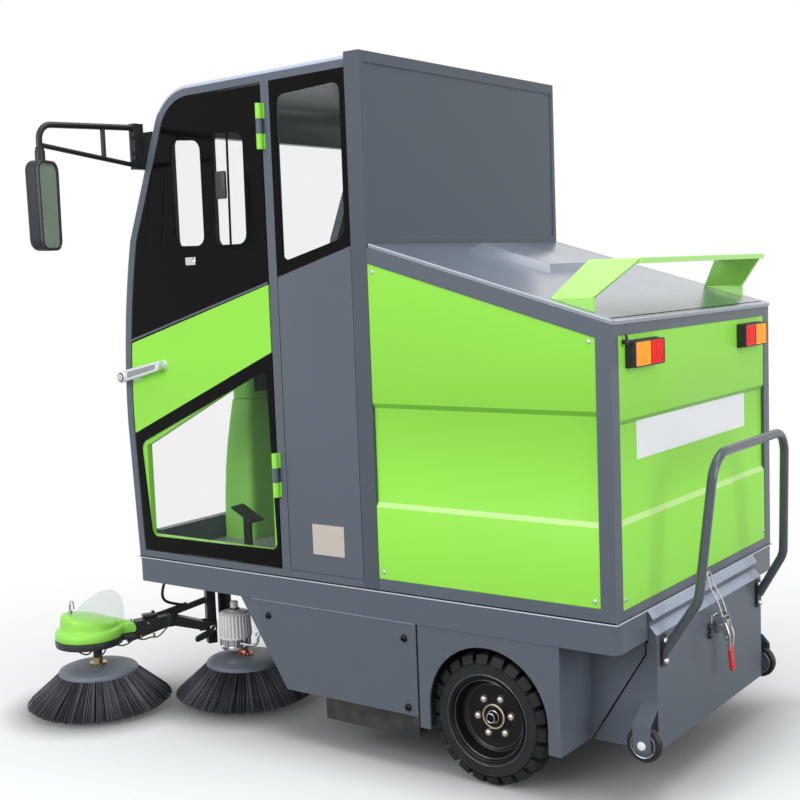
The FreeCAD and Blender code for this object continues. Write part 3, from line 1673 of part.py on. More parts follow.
def make_mirrors():
    """Tubes from a bracket on the cab's front edge, and a head turned to the driver."""
    y = -s.mirror_reach.number
    near = s.mirror_bracket_outer.number
    far = s.mirror_outer.number
    tube = s.mirror_tube.number
    brace_tube = s.mirror_brace_tube.number
    top = s.mirror_tube_height.number
    top_near = top + s.mirror_tube_rise.number
    low = s.mirror_brace_height.number
    drop = s.mirror_drop.number
    upper = bent_tube([Vector(near - tube, y, top_near), Vector(far, y, top),
                       Vector(far, y, s.mirror_head_high.number - tube)],
                      [s.mirror_bend.number], tube)
    share = (s.mirror_strut.number - near) / (far - near)
    strut_foot = Vector(s.mirror_strut.number, y, low + (drop - low) * share)
    strut_rise = Vector(0, 0, top_near + (top - top_near) * share - strut_foot.z)
    brace_foot = Vector(near - tube, y, low)
    shapes = [Part.Face(tube_ring(foot, way, brace_tube)).extrude(way) for foot, way in (
        (strut_foot, strut_rise), (brace_foot, Vector(far, y, drop) - brace_foot))]
    half = s.mirror_bracket / 2
    foot_low = s.mirror_brace_height - half
    foot_high = s.mirror_tube_height
    bracket = new_body("mirror_bracket")
    front = -s.mirror_reach - half
    pad(bracket, "x", s.mirror_bracket_inner, s.body_half,
        [(front, foot_low), (cab_side(foot_low), foot_low), (cab_side(foot_high), foot_high),
         (front, foot_high)])
    pad(bracket, "x", s.body_half, s.mirror_bracket_outer,
        rectangle(front, half - s.mirror_reach, foot_low, foot_high + s.mirror_tube_rise + half))
    doc.recompute()
    pair("mirror_arms", part_feature("mirror_arm", upper.fuse(shapes + [bracket.Shape])))

    head = new_body("mirror_head")
    width = s.mirror_head_width / 2
    face = s.mirror_head_depth / 2
    rim = s.mirror_rim
    pad(head, "y", -face, face,
        rounded(-width, width, s.mirror_head_low, s.mirror_head_high, s.mirror_head_round))
    cut(head, "z", s.mirror_head_high - s.mirror_tube * 2, s.mirror_head_high + s.overrun,
        circle(ZERO, ZERO, s.mirror_tube + s.seat_play))
    cut(head, "y", face - s.mirror_recess, face,
        rounded(rim - width, width - rim, s.mirror_head_low + rim, s.mirror_head_high - rim,
                s.mirror_head_round - rim))
    stand(head, s.mirror_outer, -s.mirror_reach, ZERO, s.mirror_turn.number)
    pair("mirror_heads", head)


def make_everything():
    make_chassis()
    make_rear_axle()
    make_cab_frame()
    make_roof()
    make_windscreen()
    make_cab_wall()
    make_mid_panels()
    make_quarter_glass()
    make_doors()
    make_door_hinges()
    make_door_glass()
    make_door_handles()
    make_body_frame()
    make_side_panels()
    make_rear_panel()
    make_deck_lid()
    make_spoiler()
    make_rear_lamps()
    make_wheels()
    make_front_fork()
    make_skirts()
    make_wheel_housings()
    make_flaps()
    make_hopper()
    make_casters()
    make_push_handle()
    make_hopper_latch()
    make_brushes()
    make_brush_arms()
    make_brush_motors()
    make_broom()
    make_broom_brackets()
    make_console()
    make_steering_column()
    make_seat()
    make_pedals()
    make_battery()
    make_mirrors()


def check_features():
    for item in doc.Objects:
        for word in ("Invalid", "Error"):
            if word in item.State:
                raise RuntimeError("%s (%s) is %s" % (item.Name, item.Label, word))
        if item.TypeId == "PartDesign::Pocket" and item.BaseFeature is not None:
            if item.BaseFeature.Shape.Volume - item.Shape.Volume < 1:
                raise RuntimeError("%s cuts nothing" % item.Name)


def write_nodes():
    os.makedirs("parts", exist_ok=True)
    for label, item in NODES.items():
        shape = item.Shape
        if shape.isNull() or not shape.isValid() or not shape.Solids:
            raise RuntimeError("%s has no valid shape" % label)
        shape.exportStep("parts/%s.step" % label)
        print("%-22s %3d solids %9.1f cm3" % (label, len(shape.Solids), shape.Volume / 1000))


fill_sheet()
make_everything()
doc.recompute()
check_features()
write_nodes()
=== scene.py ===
import json
import math
import random

import bmesh
import bpy
from mathutils import Matrix, Vector

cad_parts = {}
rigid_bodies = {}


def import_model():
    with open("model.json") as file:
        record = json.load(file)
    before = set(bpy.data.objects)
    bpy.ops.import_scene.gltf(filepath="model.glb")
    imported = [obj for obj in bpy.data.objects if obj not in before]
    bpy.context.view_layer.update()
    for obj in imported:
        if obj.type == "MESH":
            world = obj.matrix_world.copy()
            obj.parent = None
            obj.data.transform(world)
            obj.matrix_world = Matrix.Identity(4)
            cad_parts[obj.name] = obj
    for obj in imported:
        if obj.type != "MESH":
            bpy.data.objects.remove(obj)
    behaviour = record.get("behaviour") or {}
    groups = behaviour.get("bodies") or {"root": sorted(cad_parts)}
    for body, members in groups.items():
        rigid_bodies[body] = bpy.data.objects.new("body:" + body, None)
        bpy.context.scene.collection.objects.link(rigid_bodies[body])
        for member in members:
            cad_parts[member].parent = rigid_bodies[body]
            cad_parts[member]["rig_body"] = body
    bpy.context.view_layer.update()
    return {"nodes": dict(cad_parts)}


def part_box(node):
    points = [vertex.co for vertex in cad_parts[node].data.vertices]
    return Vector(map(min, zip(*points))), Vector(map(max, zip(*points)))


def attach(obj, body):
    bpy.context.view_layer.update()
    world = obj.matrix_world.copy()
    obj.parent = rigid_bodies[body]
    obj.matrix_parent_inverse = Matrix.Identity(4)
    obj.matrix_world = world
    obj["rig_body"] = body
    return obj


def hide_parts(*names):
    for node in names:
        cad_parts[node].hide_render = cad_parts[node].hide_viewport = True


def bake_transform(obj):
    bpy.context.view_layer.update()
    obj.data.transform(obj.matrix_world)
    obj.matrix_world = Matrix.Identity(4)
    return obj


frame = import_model()

# Colours as they look in plain light, red, green and blue of 255
SLATE = (97, 105, 116)
LIME = (161, 241, 86)
COVER_LIME = (160, 236, 92)
SATIN_BLACK = (36, 37, 39)
RIM_BLACK = (17, 17, 18)
TYRE_BLACK = (33, 34, 36)
PANE_BLACK = (13, 13, 14)
PANE_BACK = (40, 58, 38)
BRISTLE_DARK = (40, 41, 46)
BRISTLE_LIGHT = (128, 130, 139)
DISC_GREY = (112, 120, 132)
MOULDED_BLACK = (44, 45, 48)
ZINC = (200, 200, 204)
SILVER = (212, 213, 217)
COPPER = (205, 140, 112)
BRASS = (196, 178, 136)
AMBER = (255, 150, 26)
LAMP_RED = (226, 18, 12)
GRIP_RED = (226, 44, 36)
BEIGE = (208, 198, 188)
PLATE_WHITE = (250, 251, 254)
DUST = (150, 142, 130)

# The side plane of the doors, panels and skirts, the hopper's rear face, and the places
# above and ahead of which the cab frame's edges are roof rails and front posts
SIDE = 0.56
HOPPER_FACE = 1.064
ROOF_RAIL_FOOT = 1.95
FRONT_POST_BACK = -0.6
AXLE = (1, 0, 0)
BACKWARD = (0, 1, 0)
UPRIGHT = (0, 0, 1)

# Points of a CAD mesh closer than this are one point
MERGE_GAP = 0.000005
# How far a finish's roughness goes either way of its middle
SHEEN_SWING = 0.05

# The camera's place, its directions and its lens, solved from the photograph
CAMERA_AT = Vector((3.539, 2.55, 1.481))
CAMERA_RIGHT = Vector((-0.5892, 0.807, -0.0373))
CAMERA_UP = Vector((-0.103, -0.0292, 0.9943))
CAMERA_LENS = 58.135


def linear(colour):
    """An 8-bit colour as linear light."""
    light = []
    for channel in colour:
        share = channel / 255
        light.append(share / 12.92 if share <= 0.04045 else ((share + 0.055) / 1.055) ** 2.4)
    return (*light, 1.0)


def place(tree, kind, inputs=(), **settings):
    """Adds a node, sets it, and feeds its sockets with values or with other sockets."""
    node = tree.nodes.new(kind)
    for name, value in settings.items():
        setattr(node, name, value)
    for socket, value in dict(inputs).items():
        if isinstance(value, bpy.types.NodeSocket):
            tree.links.new(value, node.inputs[socket])
        else:
            node.inputs[socket].default_value = value
    return node


def effect(name, inputs, outputs):
    """A node group with its sockets; returns the tree, its entry and its exit."""
    tree = bpy.data.node_groups.new(name, "ShaderNodeTree")
    for label, value in inputs.items():
        socket = tree.interface.new_socket(label, in_out="INPUT", socket_type="NodeSocketFloat")
        socket.default_value = value
    for label in outputs:
        tree.interface.new_socket(label, in_out="OUTPUT", socket_type="NodeSocketFloat")
    return tree, tree.nodes.new("NodeGroupInput"), tree.nodes.new("NodeGroupOutput")


def reckon(tree, operation, *values):
    """The result of a maths node."""
    return place(tree, "ShaderNodeMath", dict(enumerate(values)), operation=operation).outputs[0]


def ease(tree, value, near, far, start, end):
    """A number that passes smoothly from start to end between two distances."""
    return place(tree, "ShaderNodeMapRange", {
        "Value": value, "From Min": near, "From Max": far, "To Min": start, "To Max": end},
        interpolation_type="SMOOTHSTEP").outputs[0]


def make_mottle():
    """Broad clouds of shade and a fine grain, both from noise."""
    scales = {"Cloud Scale": 2.5, "Grain Scale": 400.0}
    tree, entry, leave = effect("mottle", scales, ("Cloud", "Grain"))
    where = place(tree, "ShaderNodeTexCoord").outputs["Object"]
    for label, detail in (("Cloud", 4.0), ("Grain", 2.0)):
        noise = place(tree, "ShaderNodeTexNoise", {
            "Vector": where, "Scale": entry.outputs[label + " Scale"], "Detail": detail})
        tree.links.new(noise.outputs["Fac"], leave.inputs[label])
    return tree


def make_dust():
    """Road dust that thins out with height above the ground."""
    tree, entry, leave = effect("road dust", {"Reach": 0.6, "Amount": 0.3}, ("Mask",))
    where = place(tree, "ShaderNodeTexCoord").outputs["Object"]
    height = place(tree, "ShaderNodeSeparateXYZ", {0: where}).outputs["Z"]
    fade = place(tree, "ShaderNodeMapRange", {
        "Value": height, "From Min": 0.0, "From Max": entry.outputs["Reach"],
        "To Min": 1.0, "To Max": 0.0}).outputs[0]
    noise = place(tree, "ShaderNodeTexNoise", {"Vector": where, "Scale": 16.0, "Detail": 6.0})
    speck = place(tree, "ShaderNodeMapRange", {
        "Value": noise.outputs["Fac"], "From Min": 0.38, "From Max": 0.72}).outputs[0]
    patch = reckon(tree, "MULTIPLY", fade, speck)
    mask = reckon(tree, "MULTIPLY", patch, entry.outputs["Amount"])
    tree.links.new(mask, leave.inputs["Mask"])
    return tree


def make_pebble():
    """The small rounded cells of leather and of grained mouldings."""
    tree, entry, leave = effect("pebble", {"Scale": 300.0}, ("Height",))
    where = place(tree, "ShaderNodeTexCoord").outputs["Object"]
    cells = place(tree, "ShaderNodeTexVoronoi", {"Vector": where, "Scale": entry.outputs["Scale"]})
    tree.links.new(cells.outputs["Distance"], leave.inputs["Height"])
    return tree


MOTTLE = make_mottle()
DUST_FILM = make_dust()
PEBBLE = make_pebble()


def mix_colour(tree, share, first, second):
    """A colour between two, by a share."""
    mix = tree.nodes.new("ShaderNodeMix")
    mix.data_type = "RGBA"
    for index, value in ((0, share), (6, first), (7, second)):
        if isinstance(value, bpy.types.NodeSocket):
            tree.links.new(value, mix.inputs[index])
        else:
            mix.inputs[index].default_value = value
    return mix.outputs[2]


def finish(name, colour, rough, metal=0.0, cloud=0.04, cloud_scale=2.5, grain=0.00002,
           grain_scale=400.0, dust=0.0, reach=0.6, coat=0.0, coat_rough=0.12, pebble=0.0,
           alpha=1.0, gloss=0.5, painted_glow=0.0):
    """A material whose shade, sheen and surface all vary as a real finish does."""
    material = bpy.data.materials.new(name)
    material.use_nodes = True
    tree = material.node_tree
    shader = tree.nodes["Principled BSDF"]
    mottle = place(tree, "ShaderNodeGroup", {
        "Cloud Scale": cloud_scale, "Grain Scale": grain_scale}, node_tree=MOTTLE)
    base = linear(colour)[:3]
    dark = [channel * (1 - cloud) for channel in base] + [1.0]
    light = [min(channel * (1 + cloud), 1.0) for channel in base] + [1.0]
    shade = mix_colour(tree, mottle.outputs["Cloud"], dark, light)
    sheen = place(tree, "ShaderNodeMapRange", {
        "Value": mottle.outputs["Cloud"], "From Min": 0.3, "From Max": 0.7,
        "To Min": max(rough - SHEEN_SWING, 0.0), "To Max": rough + SHEEN_SWING}).outputs[0]
    if dust:
        film = place(tree, "ShaderNodeGroup", {"Amount": dust, "Reach": reach},
                     node_tree=DUST_FILM).outputs["Mask"]
        shade = mix_colour(tree, film, shade, linear(DUST))
        sheen = place(tree, "ShaderNodeMath", {0: sheen, 1: film}, operation="ADD",
                      use_clamp=True).outputs[0]
    height, depth = mottle.outputs["Grain"], grain
    if pebble:
        cells = place(tree, "ShaderNodeGroup", {"Scale": grain_scale}, node_tree=PEBBLE)
        height, depth = cells.outputs["Height"], pebble
    bump = place(tree, "ShaderNodeBump", {"Height": height, "Distance": depth, "Strength": 1.0})
    tree.links.new(shade, shader.inputs["Base Color"])
    tree.links.new(sheen, shader.inputs["Roughness"])
    tree.links.new(bump.outputs["Normal"], shader.inputs["Normal"])
    for socket, value in (("Metallic", metal), ("Coat Weight", coat),
                          ("Coat Roughness", coat_rough), ("Alpha", alpha),
                          ("Specular IOR Level", gloss)):
        shader.inputs[socket].default_value = value
    # A painted glow: the lens gives off its own colour as light, standing for light that shines
    # through it
    if painted_glow:
        tree.links.new(shade, shader.inputs["Emission Color"])
        shader.inputs["Emission Strength"].default_value = painted_glow
    return material


def streaked(name, dark, light):
    """Bristles that differ from one to the next, by the shade that each one carries."""
    material = finish(name, light, 0.46, cloud=0.3, cloud_scale=60.0, dust=0.14, reach=0.12,
                      gloss=0.3)
    tree = material.node_tree
    colour = tree.nodes["Principled BSDF"].inputs["Base Color"]
    before = colour.links[0].from_socket
    shade = place(tree, "ShaderNodeAttribute", attribute_name="streak").outputs["Fac"]
    tree.links.new(mix_colour(tree, shade, linear(dark), before), colour)
    return material


SLATE_PAINT = finish("slate paint", SLATE, 0.32, cloud=0.05, dust=0.06, gloss=0.22)
LIME_PAINT = finish("lime paint", LIME, 0.34, cloud=0.02, dust=0.02, gloss=0.14)
BLACK_PAINT = finish("black paint", SATIN_BLACK, 0.34, dust=0.08, gloss=0.35)
RIM_PAINT = finish("rim paint", RIM_BLACK, 0.26, dust=0.02, reach=0.4, gloss=0.25)
TYRE = finish("tyre rubber", TYRE_BLACK, 0.62, cloud=0.14, cloud_scale=20.0, grain=0.0002,
              grain_scale=260.0, dust=0.03, reach=0.5, gloss=0.3)
RUBBER = finish("sheet rubber", SATIN_BLACK, 0.66, cloud=0.1, cloud_scale=14.0, grain=0.0001,
                dust=0.2)
BRISTLE = streaked("bristles", BRISTLE_DARK, BRISTLE_LIGHT)
DISC = finish("brush disc", DISC_GREY, 0.46, cloud=0.06, cloud_scale=9.0, grain=0.00005,
              grain_scale=300.0, dust=0.12, reach=0.3)
MOULDED = finish("grained moulding", MOULDED_BLACK, 0.48, pebble=0.00012, grain_scale=900.0)
COVER = finish("lime moulding", COVER_LIME, 0.3, cloud=0.03, gloss=0.3)
TINTED = finish("black pane", PANE_BLACK, 0.12, cloud=0.03, grain=0.000004, gloss=0.08)
TINTED_BACK = finish("pane seen from inside", PANE_BACK, 0.2, cloud=0.05, grain=0.000004,
                     gloss=0.2)
CLEAR = finish("clear glass", (120, 130, 126), 0.04, grain=0.000002, alpha=0.04)
CLEAR_SHEET = finish("clear guard", (222, 234, 231), 0.08, grain=0.00001, alpha=0.24)
# A mirror whose greenish grey base is a painted reflection of what is round it
MIRROR_PAINTED_REFLECTION = finish("mirror", (176, 192, 176), 0.05, metal=0.45, cloud=0.18, cloud_scale=9.0,
                grain=0.000001)
ZINC_STEEL = finish("zinc plated steel", ZINC, 0.26, metal=0.9, cloud=0.08, cloud_scale=60.0)
CAST = finish("cast aluminium", (250, 250, 252), 0.36, metal=0.0, cloud=0.06, cloud_scale=30.0,
              grain=0.0001, grain_scale=700.0)
CHROME = finish("bright plating", SILVER, 0.16, metal=0.85, cloud=0.03)
COPPER_METAL = finish("copper coupling", COPPER, 0.28, metal=0.9, cloud=0.12, cloud_scale=80.0)
BRASS_METAL = finish("brass", BRASS, 0.28, metal=0.9, cloud=0.1, cloud_scale=80.0)
# Both lenses carry a painted glow, as if light shone through them
AMBER_LENS = finish("amber lens", AMBER, 0.24, gloss=0.15, cloud=0.3, cloud_scale=70.0, painted_glow=0.42)
RED_LENS = finish("red lens", LAMP_RED, 0.24, gloss=0.12, cloud=0.3, cloud_scale=70.0, painted_glow=0.3)
RED_GRIP = finish("red sleeve", GRIP_RED, 0.42, grain=0.00004)
BEIGE_MESH = finish("beige plate", BEIGE, 0.5, pebble=0.0002, grain_scale=420.0)
WHITE_PLATE = finish("white plate", PLATE_WHITE, 0.35, cloud=0.01)
# The cab wall's slate, darker than the body's, is painted shade for its rear face
SHADED_WALL_PAINT = finish("wall slate with painted shade", (84, 92, 102), 0.34, cloud=0.05, gloss=0.22)
# The lid's slate, lighter and bluer than the body's, is a painted highlight for its upward face,
# under a glossy clear coat
LIT_LID_PAINT = finish("lid slate with painted highlight", (112, 121, 138), 0.3, cloud=0.05, coat=0.8, coat_rough=0.3,
                   gloss=1.0)
# A lighter slate painted as the highlight on the hopper's up-facing lips
LIT_LIP_PAINT = finish("painted hopper lip highlight", (166, 175, 196), 0.3, cloud=0.04, gloss=0.4)
# A pale slate painted as the highlight on thin beads along edges that catch the light
PAINTED_EDGE_HIGHLIGHT = finish("painted edge highlight", (196, 202, 213), 0.3, cloud=0.08, cloud_scale=30.0)
SEAL_GREY = finish("cover seal", (50, 53, 60), 0.3, cloud=0.05, gloss=0.4)
# Near-black for the windows' seals, and for dark strips painted as the shade in the gaps round
# panels and the lid
SEAL_BLACK_AND_SEAM_SHADE = finish("black seal and painted seam shade", (12, 12, 14), 0.6, gloss=0.1)
SPOILER_LIME = finish("spoiler paint", (166, 240, 100), 0.26, cloud=0.02, coat=0.6, gloss=0.5)
# A pale lime painted as the highlight on folded strips that face up
LIT_FOLD_LIME = finish("lit lime fold", (208, 252, 158), 0.36, cloud=0.03, gloss=0.25)
# A pale slate painted as the highlight on the roof rails' rounded tops
PAINTED_RAIL_HIGHLIGHT = finish("painted rail highlight", (186, 194, 212), 0.32, cloud=0.04, gloss=0.4)
GRIP_PAINT = finish("handle paint", (74, 81, 91), 0.24, cloud=0.05, gloss=0.6)
# A dark lime painted as the shade on folded strips that face down
SHADED_FOLD_LIME = finish("lime fold", (118, 192, 62), 0.36, cloud=0.03, gloss=0.25)
HUB_METAL = finish("hub ring", (222, 206, 176), 0.24, metal=0.8, cloud=0.1, cloud_scale=60.0)
BOLT_SILVER = finish("wheel bolts", (226, 216, 206), 0.22, metal=0.75, cloud=0.08,
                     cloud_scale=90.0)
# A grey, lighter than the rim, painted as highlight lines on the rim's lips and the tyre's bead
PAINTED_RING_HIGHLIGHT = finish("painted highlight ring", (96, 98, 104), 0.2, metal=0.3, gloss=0.8)
HANDLE_SILVER = finish("handle silver", (226, 228, 233), 0.28, metal=0.15, cloud=0.03)
INSET_GREY = finish("handle inset", (150, 153, 158), 0.4, cloud=0.06, cloud_scale=20.0)
MIRROR_SHELL = finish("mirror shell", (50, 51, 57), 0.46, pebble=0.00008, grain_scale=900.0,
                      gloss=0.2)
CONSOLE_LIME = finish("console moulding", (156, 232, 108), 0.4, cloud=0.04, pebble=0.00006,
                      grain_scale=800.0, gloss=0.3)
TREAD_PLATE = finish("tread plate", (168, 172, 172), 0.34, metal=0.3, cloud=0.12, cloud_scale=12.0,
                     dust=0.2, reach=0.9)
SEAT_COVER = finish("seat cover", (40, 40, 43), 0.46, pebble=0.0003, grain_scale=260.0)

CAD_FINISHES = {
    SLATE_PAINT: ["chassis_frame", "cab_frame", "cab_wall", "mid_panels", "body_frame",
                  "side_skirts", "wheel_housings", "roof_panel", "deck_lid", "hopper_bin",
                  "caster_brackets", "push_handle"],
    LIME_PAINT: ["side_panels", "rear_panel", "spoiler", "door_left", "door_right",
                 "door_hinges", "dash_console"],
    BLACK_PAINT: ["rear_axle", "front_fork", "brush_posts", "brush_arm_left",
                  "brush_arm_right", "broom_brackets", "seat_base", "pedals", "mirror_arms"],
    MOULDED: ["battery_pack", "steering_column"],
    RUBBER: ["rubber_flaps"],
    CLEAR: ["windscreen"],
    CAST: ["brush_motors"],
    ZINC_STEEL: ["hopper_latch"],
    CHROME: ["door_handle_left", "door_handle_right"],
    BRISTLE: ["main_broom", "outer_brush_left", "outer_brush_right", "inner_brush_left",
              "inner_brush_right"],
    TYRE: ["rear_tyre_left", "rear_tyre_right", "front_tyre"],
    RIM_PAINT: ["rear_rim_left", "rear_rim_right", "front_rim"],
    COVER: ["brush_cover_left", "brush_cover_right"],
    SEAT_COVER: ["seat"],
    RED_LENS: ["rear_lamps"],
    TINTED: ["door_glass_left", "door_glass_right", "quarter_glass", "mirror_heads",
             "caster_wheel_left", "caster_wheel_right"],
}


def dress_cad_nodes():
    """Gives every CAD node its finish; those that a piece stands for are hidden later."""
    for material, nodes in CAD_FINISHES.items():
        for node in nodes:
            mesh = frame["nodes"][node].data
            mesh.materials.clear()
            mesh.materials.append(material)


def add_piece(name, bm, body, slot, *materials, side=1, over=(), sharp=32, bevel=0.0):
    """Makes a bmesh a piece of a body; side -1 mirrors it to the machine's right."""
    if side < 0:
        bmesh.ops.scale(bm, vec=(-1, 1, 1), verts=bm.verts)
    bmesh.ops.remove_doubles(bm, verts=bm.verts, dist=0.000002)
    bmesh.ops.recalc_face_normals(bm, faces=bm.faces)
    mesh = bpy.data.meshes.new(name)
    bm.to_mesh(mesh)
    bm.free()
    mesh.shade_smooth()
    mesh.set_sharp_from_angle(angle=math.radians(sharp))
    for material in materials:
        mesh.materials.append(material)
    piece = bpy.data.objects.new(name, mesh)
    bpy.context.scene.collection.objects.link(piece)
    if bevel:
        edge = piece.modifiers.new("rounded edges", "BEVEL")
        edge.width = bevel
        edge.segments = 2
        edge.limit_method = "ANGLE"
        edge.angle_limit = math.radians(35)
        edge.harden_normals = True
        edge.use_clamp_overlap = True
    if body:
        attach(piece, body)
    if over:
        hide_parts(*over)
    return piece


def point(axis, level, pair):
    """A place in a plane across an axis: the pair holds the two other coordinates."""
    first, second = pair
    return Vector({"x": (level, first, second), "y": (first, level, second),
                   "z": (first, second, level)}[axis])


def flat_face(bm, axis, level, outline, radius=0.0, steps=6):
    """A flat face with rounded corners."""
    before = set(bm.faces)
    corners = [bm.verts.new(point(axis, level, pair)) for pair in outline]
    bm.faces.new(corners)
    if radius:
        bmesh.ops.bevel(bm, geom=corners, offset=radius, segments=steps, profile=0.5,
                        affect="VERTICES", material=-1, offset_type="OFFSET")
    return [face for face in bm.faces if face not in before]


def raise_faces(bm, faces, axis, rise):
    """Extrudes flat faces along an axis into a closed solid."""
    grown = bmesh.ops.extrude_face_region(bm, geom=faces)["geom"]
    verts = [item for item in grown if isinstance(item, bmesh.types.BMVert)]
    bmesh.ops.translate(bm, vec=point(axis, rise, (0, 0)), verts=verts)
    return verts


def rectangle(left, low, right, high):
    """The corners of an upright rectangle."""
    return [(left, low), (right, low), (right, high), (left, high)]


def slab(bm, axis, low, high, outline, radius=0.0, steps=6):
    """A flat plate between two levels along an axis."""
    raise_faces(bm, flat_face(bm, axis, low, outline, radius, steps), axis, high - low)


def border(bm, axis, low, high, outline, radius, width, steps=6):
    """A flat frame of even width along an outline."""
    faces = flat_face(bm, axis, low, outline, radius, steps)
    rim = bmesh.ops.inset_region(bm, faces=faces, thickness=width, use_even_offset=True,
                                 use_boundary=True)["faces"]
    bmesh.ops.delete(bm, geom=faces, context="FACES_ONLY")
    raise_faces(bm, rim, axis, high - low)


def block(bm, first, second, bevel=0.0, steps=2):
    """A box between two corners, its edges rounded."""
    low, high = (Vector([pick(pair) for pair in zip(first, second)]) for pick in (min, max))
    matrix = Matrix.Translation((low + high) / 2) @ Matrix.Diagonal((*(high - low), 1.0))
    verts = bmesh.ops.create_cube(bm, size=1.0, matrix=matrix)["verts"]
    if bevel:
        edges = list({edge for vert in verts for edge in vert.link_edges})
        bmesh.ops.bevel(bm, geom=edges, offset=bevel, segments=steps, profile=0.5,
                        affect="EDGES", material=-1)


def turned(bm, profile, centre, axis=(0, 0, 1), steps=48, closed=False):
    """Spins a profile of (radius, place along the axis) round an axis."""
    axis, centre = Vector(axis), Vector(centre)
    out = axis.orthogonal().normalized()
    verts = [bm.verts.new(centre + out * radius + axis * along) for radius, along in profile]
    edges = [bm.edges.new(pair) for pair in zip(verts, verts[1:])]
    if closed:
        edges.append(bm.edges.new((verts[-1], verts[0])))
    bmesh.ops.spin(bm, geom=verts + edges, cent=centre, axis=axis, dvec=(0, 0, 0),
                   angle=math.tau, steps=steps, use_merge=True)


def bar(bm, start, end, radius, sides=16, end_radius=None):
    """A straight round bar between two places."""
    start, end = Vector(start), Vector(end)
    way = end - start
    turn = way.to_track_quat("Z", "Y").to_matrix().to_4x4()
    return bmesh.ops.create_cone(
        bm, cap_ends=True, cap_tris=False, segments=sides, radius1=radius,
        radius2=radius if end_radius is None else end_radius, depth=way.length,
        matrix=Matrix.Translation((start + end) / 2) @ turn)["verts"]


def rod(bm, points, radius, sides=2):
    """A smooth bent rod through a short route of places."""
    curve = bpy.data.curves.new("rod", "CURVE")
    curve.dimensions = "3D"
    curve.bevel_depth = radius
    curve.bevel_resolution = sides
    curve.use_fill_caps = True
    curve.resolution_u = 8
    spline = curve.splines.new("NURBS")
    spline.points.add(len(points) - 1)
    for place_on, spot in zip(spline.points, points):
        place_on.co = (*spot, 1.0)
    spline.order_u = 3
    spline.use_endpoint_u = True
    holder = bpy.data.objects.new("rod", curve)
    mesh = bpy.data.meshes.new_from_object(holder)
    bm.from_mesh(mesh)
    bpy.data.objects.remove(holder)
    bpy.data.curves.remove(curve)
    bpy.data.meshes.remove(mesh)


def screw(bm, centre, axis, radius=0.006, height=0.003):
    """A domed screw head with a socket in its middle."""
    turned(bm, [(0.0, height * 0.4), (radius * 0.4, height * 0.4), (radius * 0.45, height),
                (radius * 0.8, height * 0.8), (radius, height * 0.2), (radius, -height * 0.5)],
           centre, axis, steps=16)


def hex_bolt(bm, centre, axis, radius, height):
    """A hexagon head on its washer."""
    centre, axis = Vector(centre), Vector(axis)
    bar(bm, centre, centre + axis * height * 0.25, radius * 1.5, 20)
    bar(bm, centre + axis * height * 0.25, centre + axis * height, radius, 6)


def catches_light(edge):
    """Whether an edge is an outer one of a roof rail or of a front post."""
    if len(edge.link_faces) != 2 or min(abs(vert.co.x) for vert in edge.verts) < SIDE - 0.001:
        return False
    middle = (edge.verts[0].co + edge.verts[1].co) / 2
    normals = [face.normal for face in edge.link_faces]
    level = [normal for normal in normals if abs(normal.x) < 0.1]
    roof = middle.z > ROOF_RAIL_FOOT and any(normal.z > 0.15 for normal in level)
    post = middle.y < FRONT_POST_BACK and any(normal.y < -0.2 for normal in level)
    return any(abs(normal.x) > 0.9 for normal in normals) and (roof or post)


def round_roof_rails(bm):
    """Rounds the outer edges of the roof rails and front posts, where they catch the light, and
    paints the rounding's upward faces a lighter slate as their highlight.
    """
    rails = [edge for edge in bm.edges if catches_light(edge)]
    made = bmesh.ops.bevel(bm, geom=rails, offset=0.013, segments=4, profile=0.5,
                           affect="EDGES", material=-1)["faces"]
    for face in made:
        if face.normal.z > 0.12:
            face.material_index = 1


def folds(node, bm):
    """Paints light and shade by facing: a panel's folded strips get painted shade where they face
    down and a painted highlight where they face up, and the hopper's up-facing lips a painted
    highlight.
    """
    for face in bm.faces:
        across, back, up = (abs(share) for share in face.normal)
        if node == "hopper_bin":
            if face.normal.z > 0.25 and face.normal.y > 0.15:
                face.material_index = 1
        elif 0.03 < up < 0.9 and max(across, back) > 0.3:
            face.material_index = 1 if face.normal.z < 0 else 2


def node_shape(node):
    """A node's shape as a bmesh, its triangles joined into flat faces."""
    bm = bmesh.new()
    bm.from_mesh(frame["nodes"][node].data)
    bmesh.ops.remove_doubles(bm, verts=bm.verts, dist=MERGE_GAP)
    bmesh.ops.dissolve_limit(bm, angle_limit=math.radians(1.0), verts=bm.verts, edges=bm.edges)
    return bm


def soften(node, slot, material):
    """A copy of a node with its long edges rounded, which stands for the node."""
    bm = node_shape(node)
    materials = [material]
    if node in FOLD_LIGHT_AND_SHADE:
        folds(node, bm)
        materials += FOLD_LIGHT_AND_SHADE[node]
    if node == "cab_frame":
        round_roof_rails(bm)
        materials.append(PAINTED_RAIL_HIGHLIGHT)
    add_piece(node + "_finished", bm, body_of(node), slot, *materials, over=[node],
              bevel=0.0012)


def body_of(node):
    """The name of the body that a node rides on."""
    return frame["nodes"][node]["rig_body"]


# The painted shade and painted highlights of a node's folds or lips, which follow its main finish
FOLD_LIGHT_AND_SHADE = {"hopper_bin": [LIT_LIP_PAINT], "side_panels": [SHADED_FOLD_LIME, LIT_FOLD_LIME],
                 "rear_panel": [SHADED_FOLD_LIME, LIT_FOLD_LIME]}
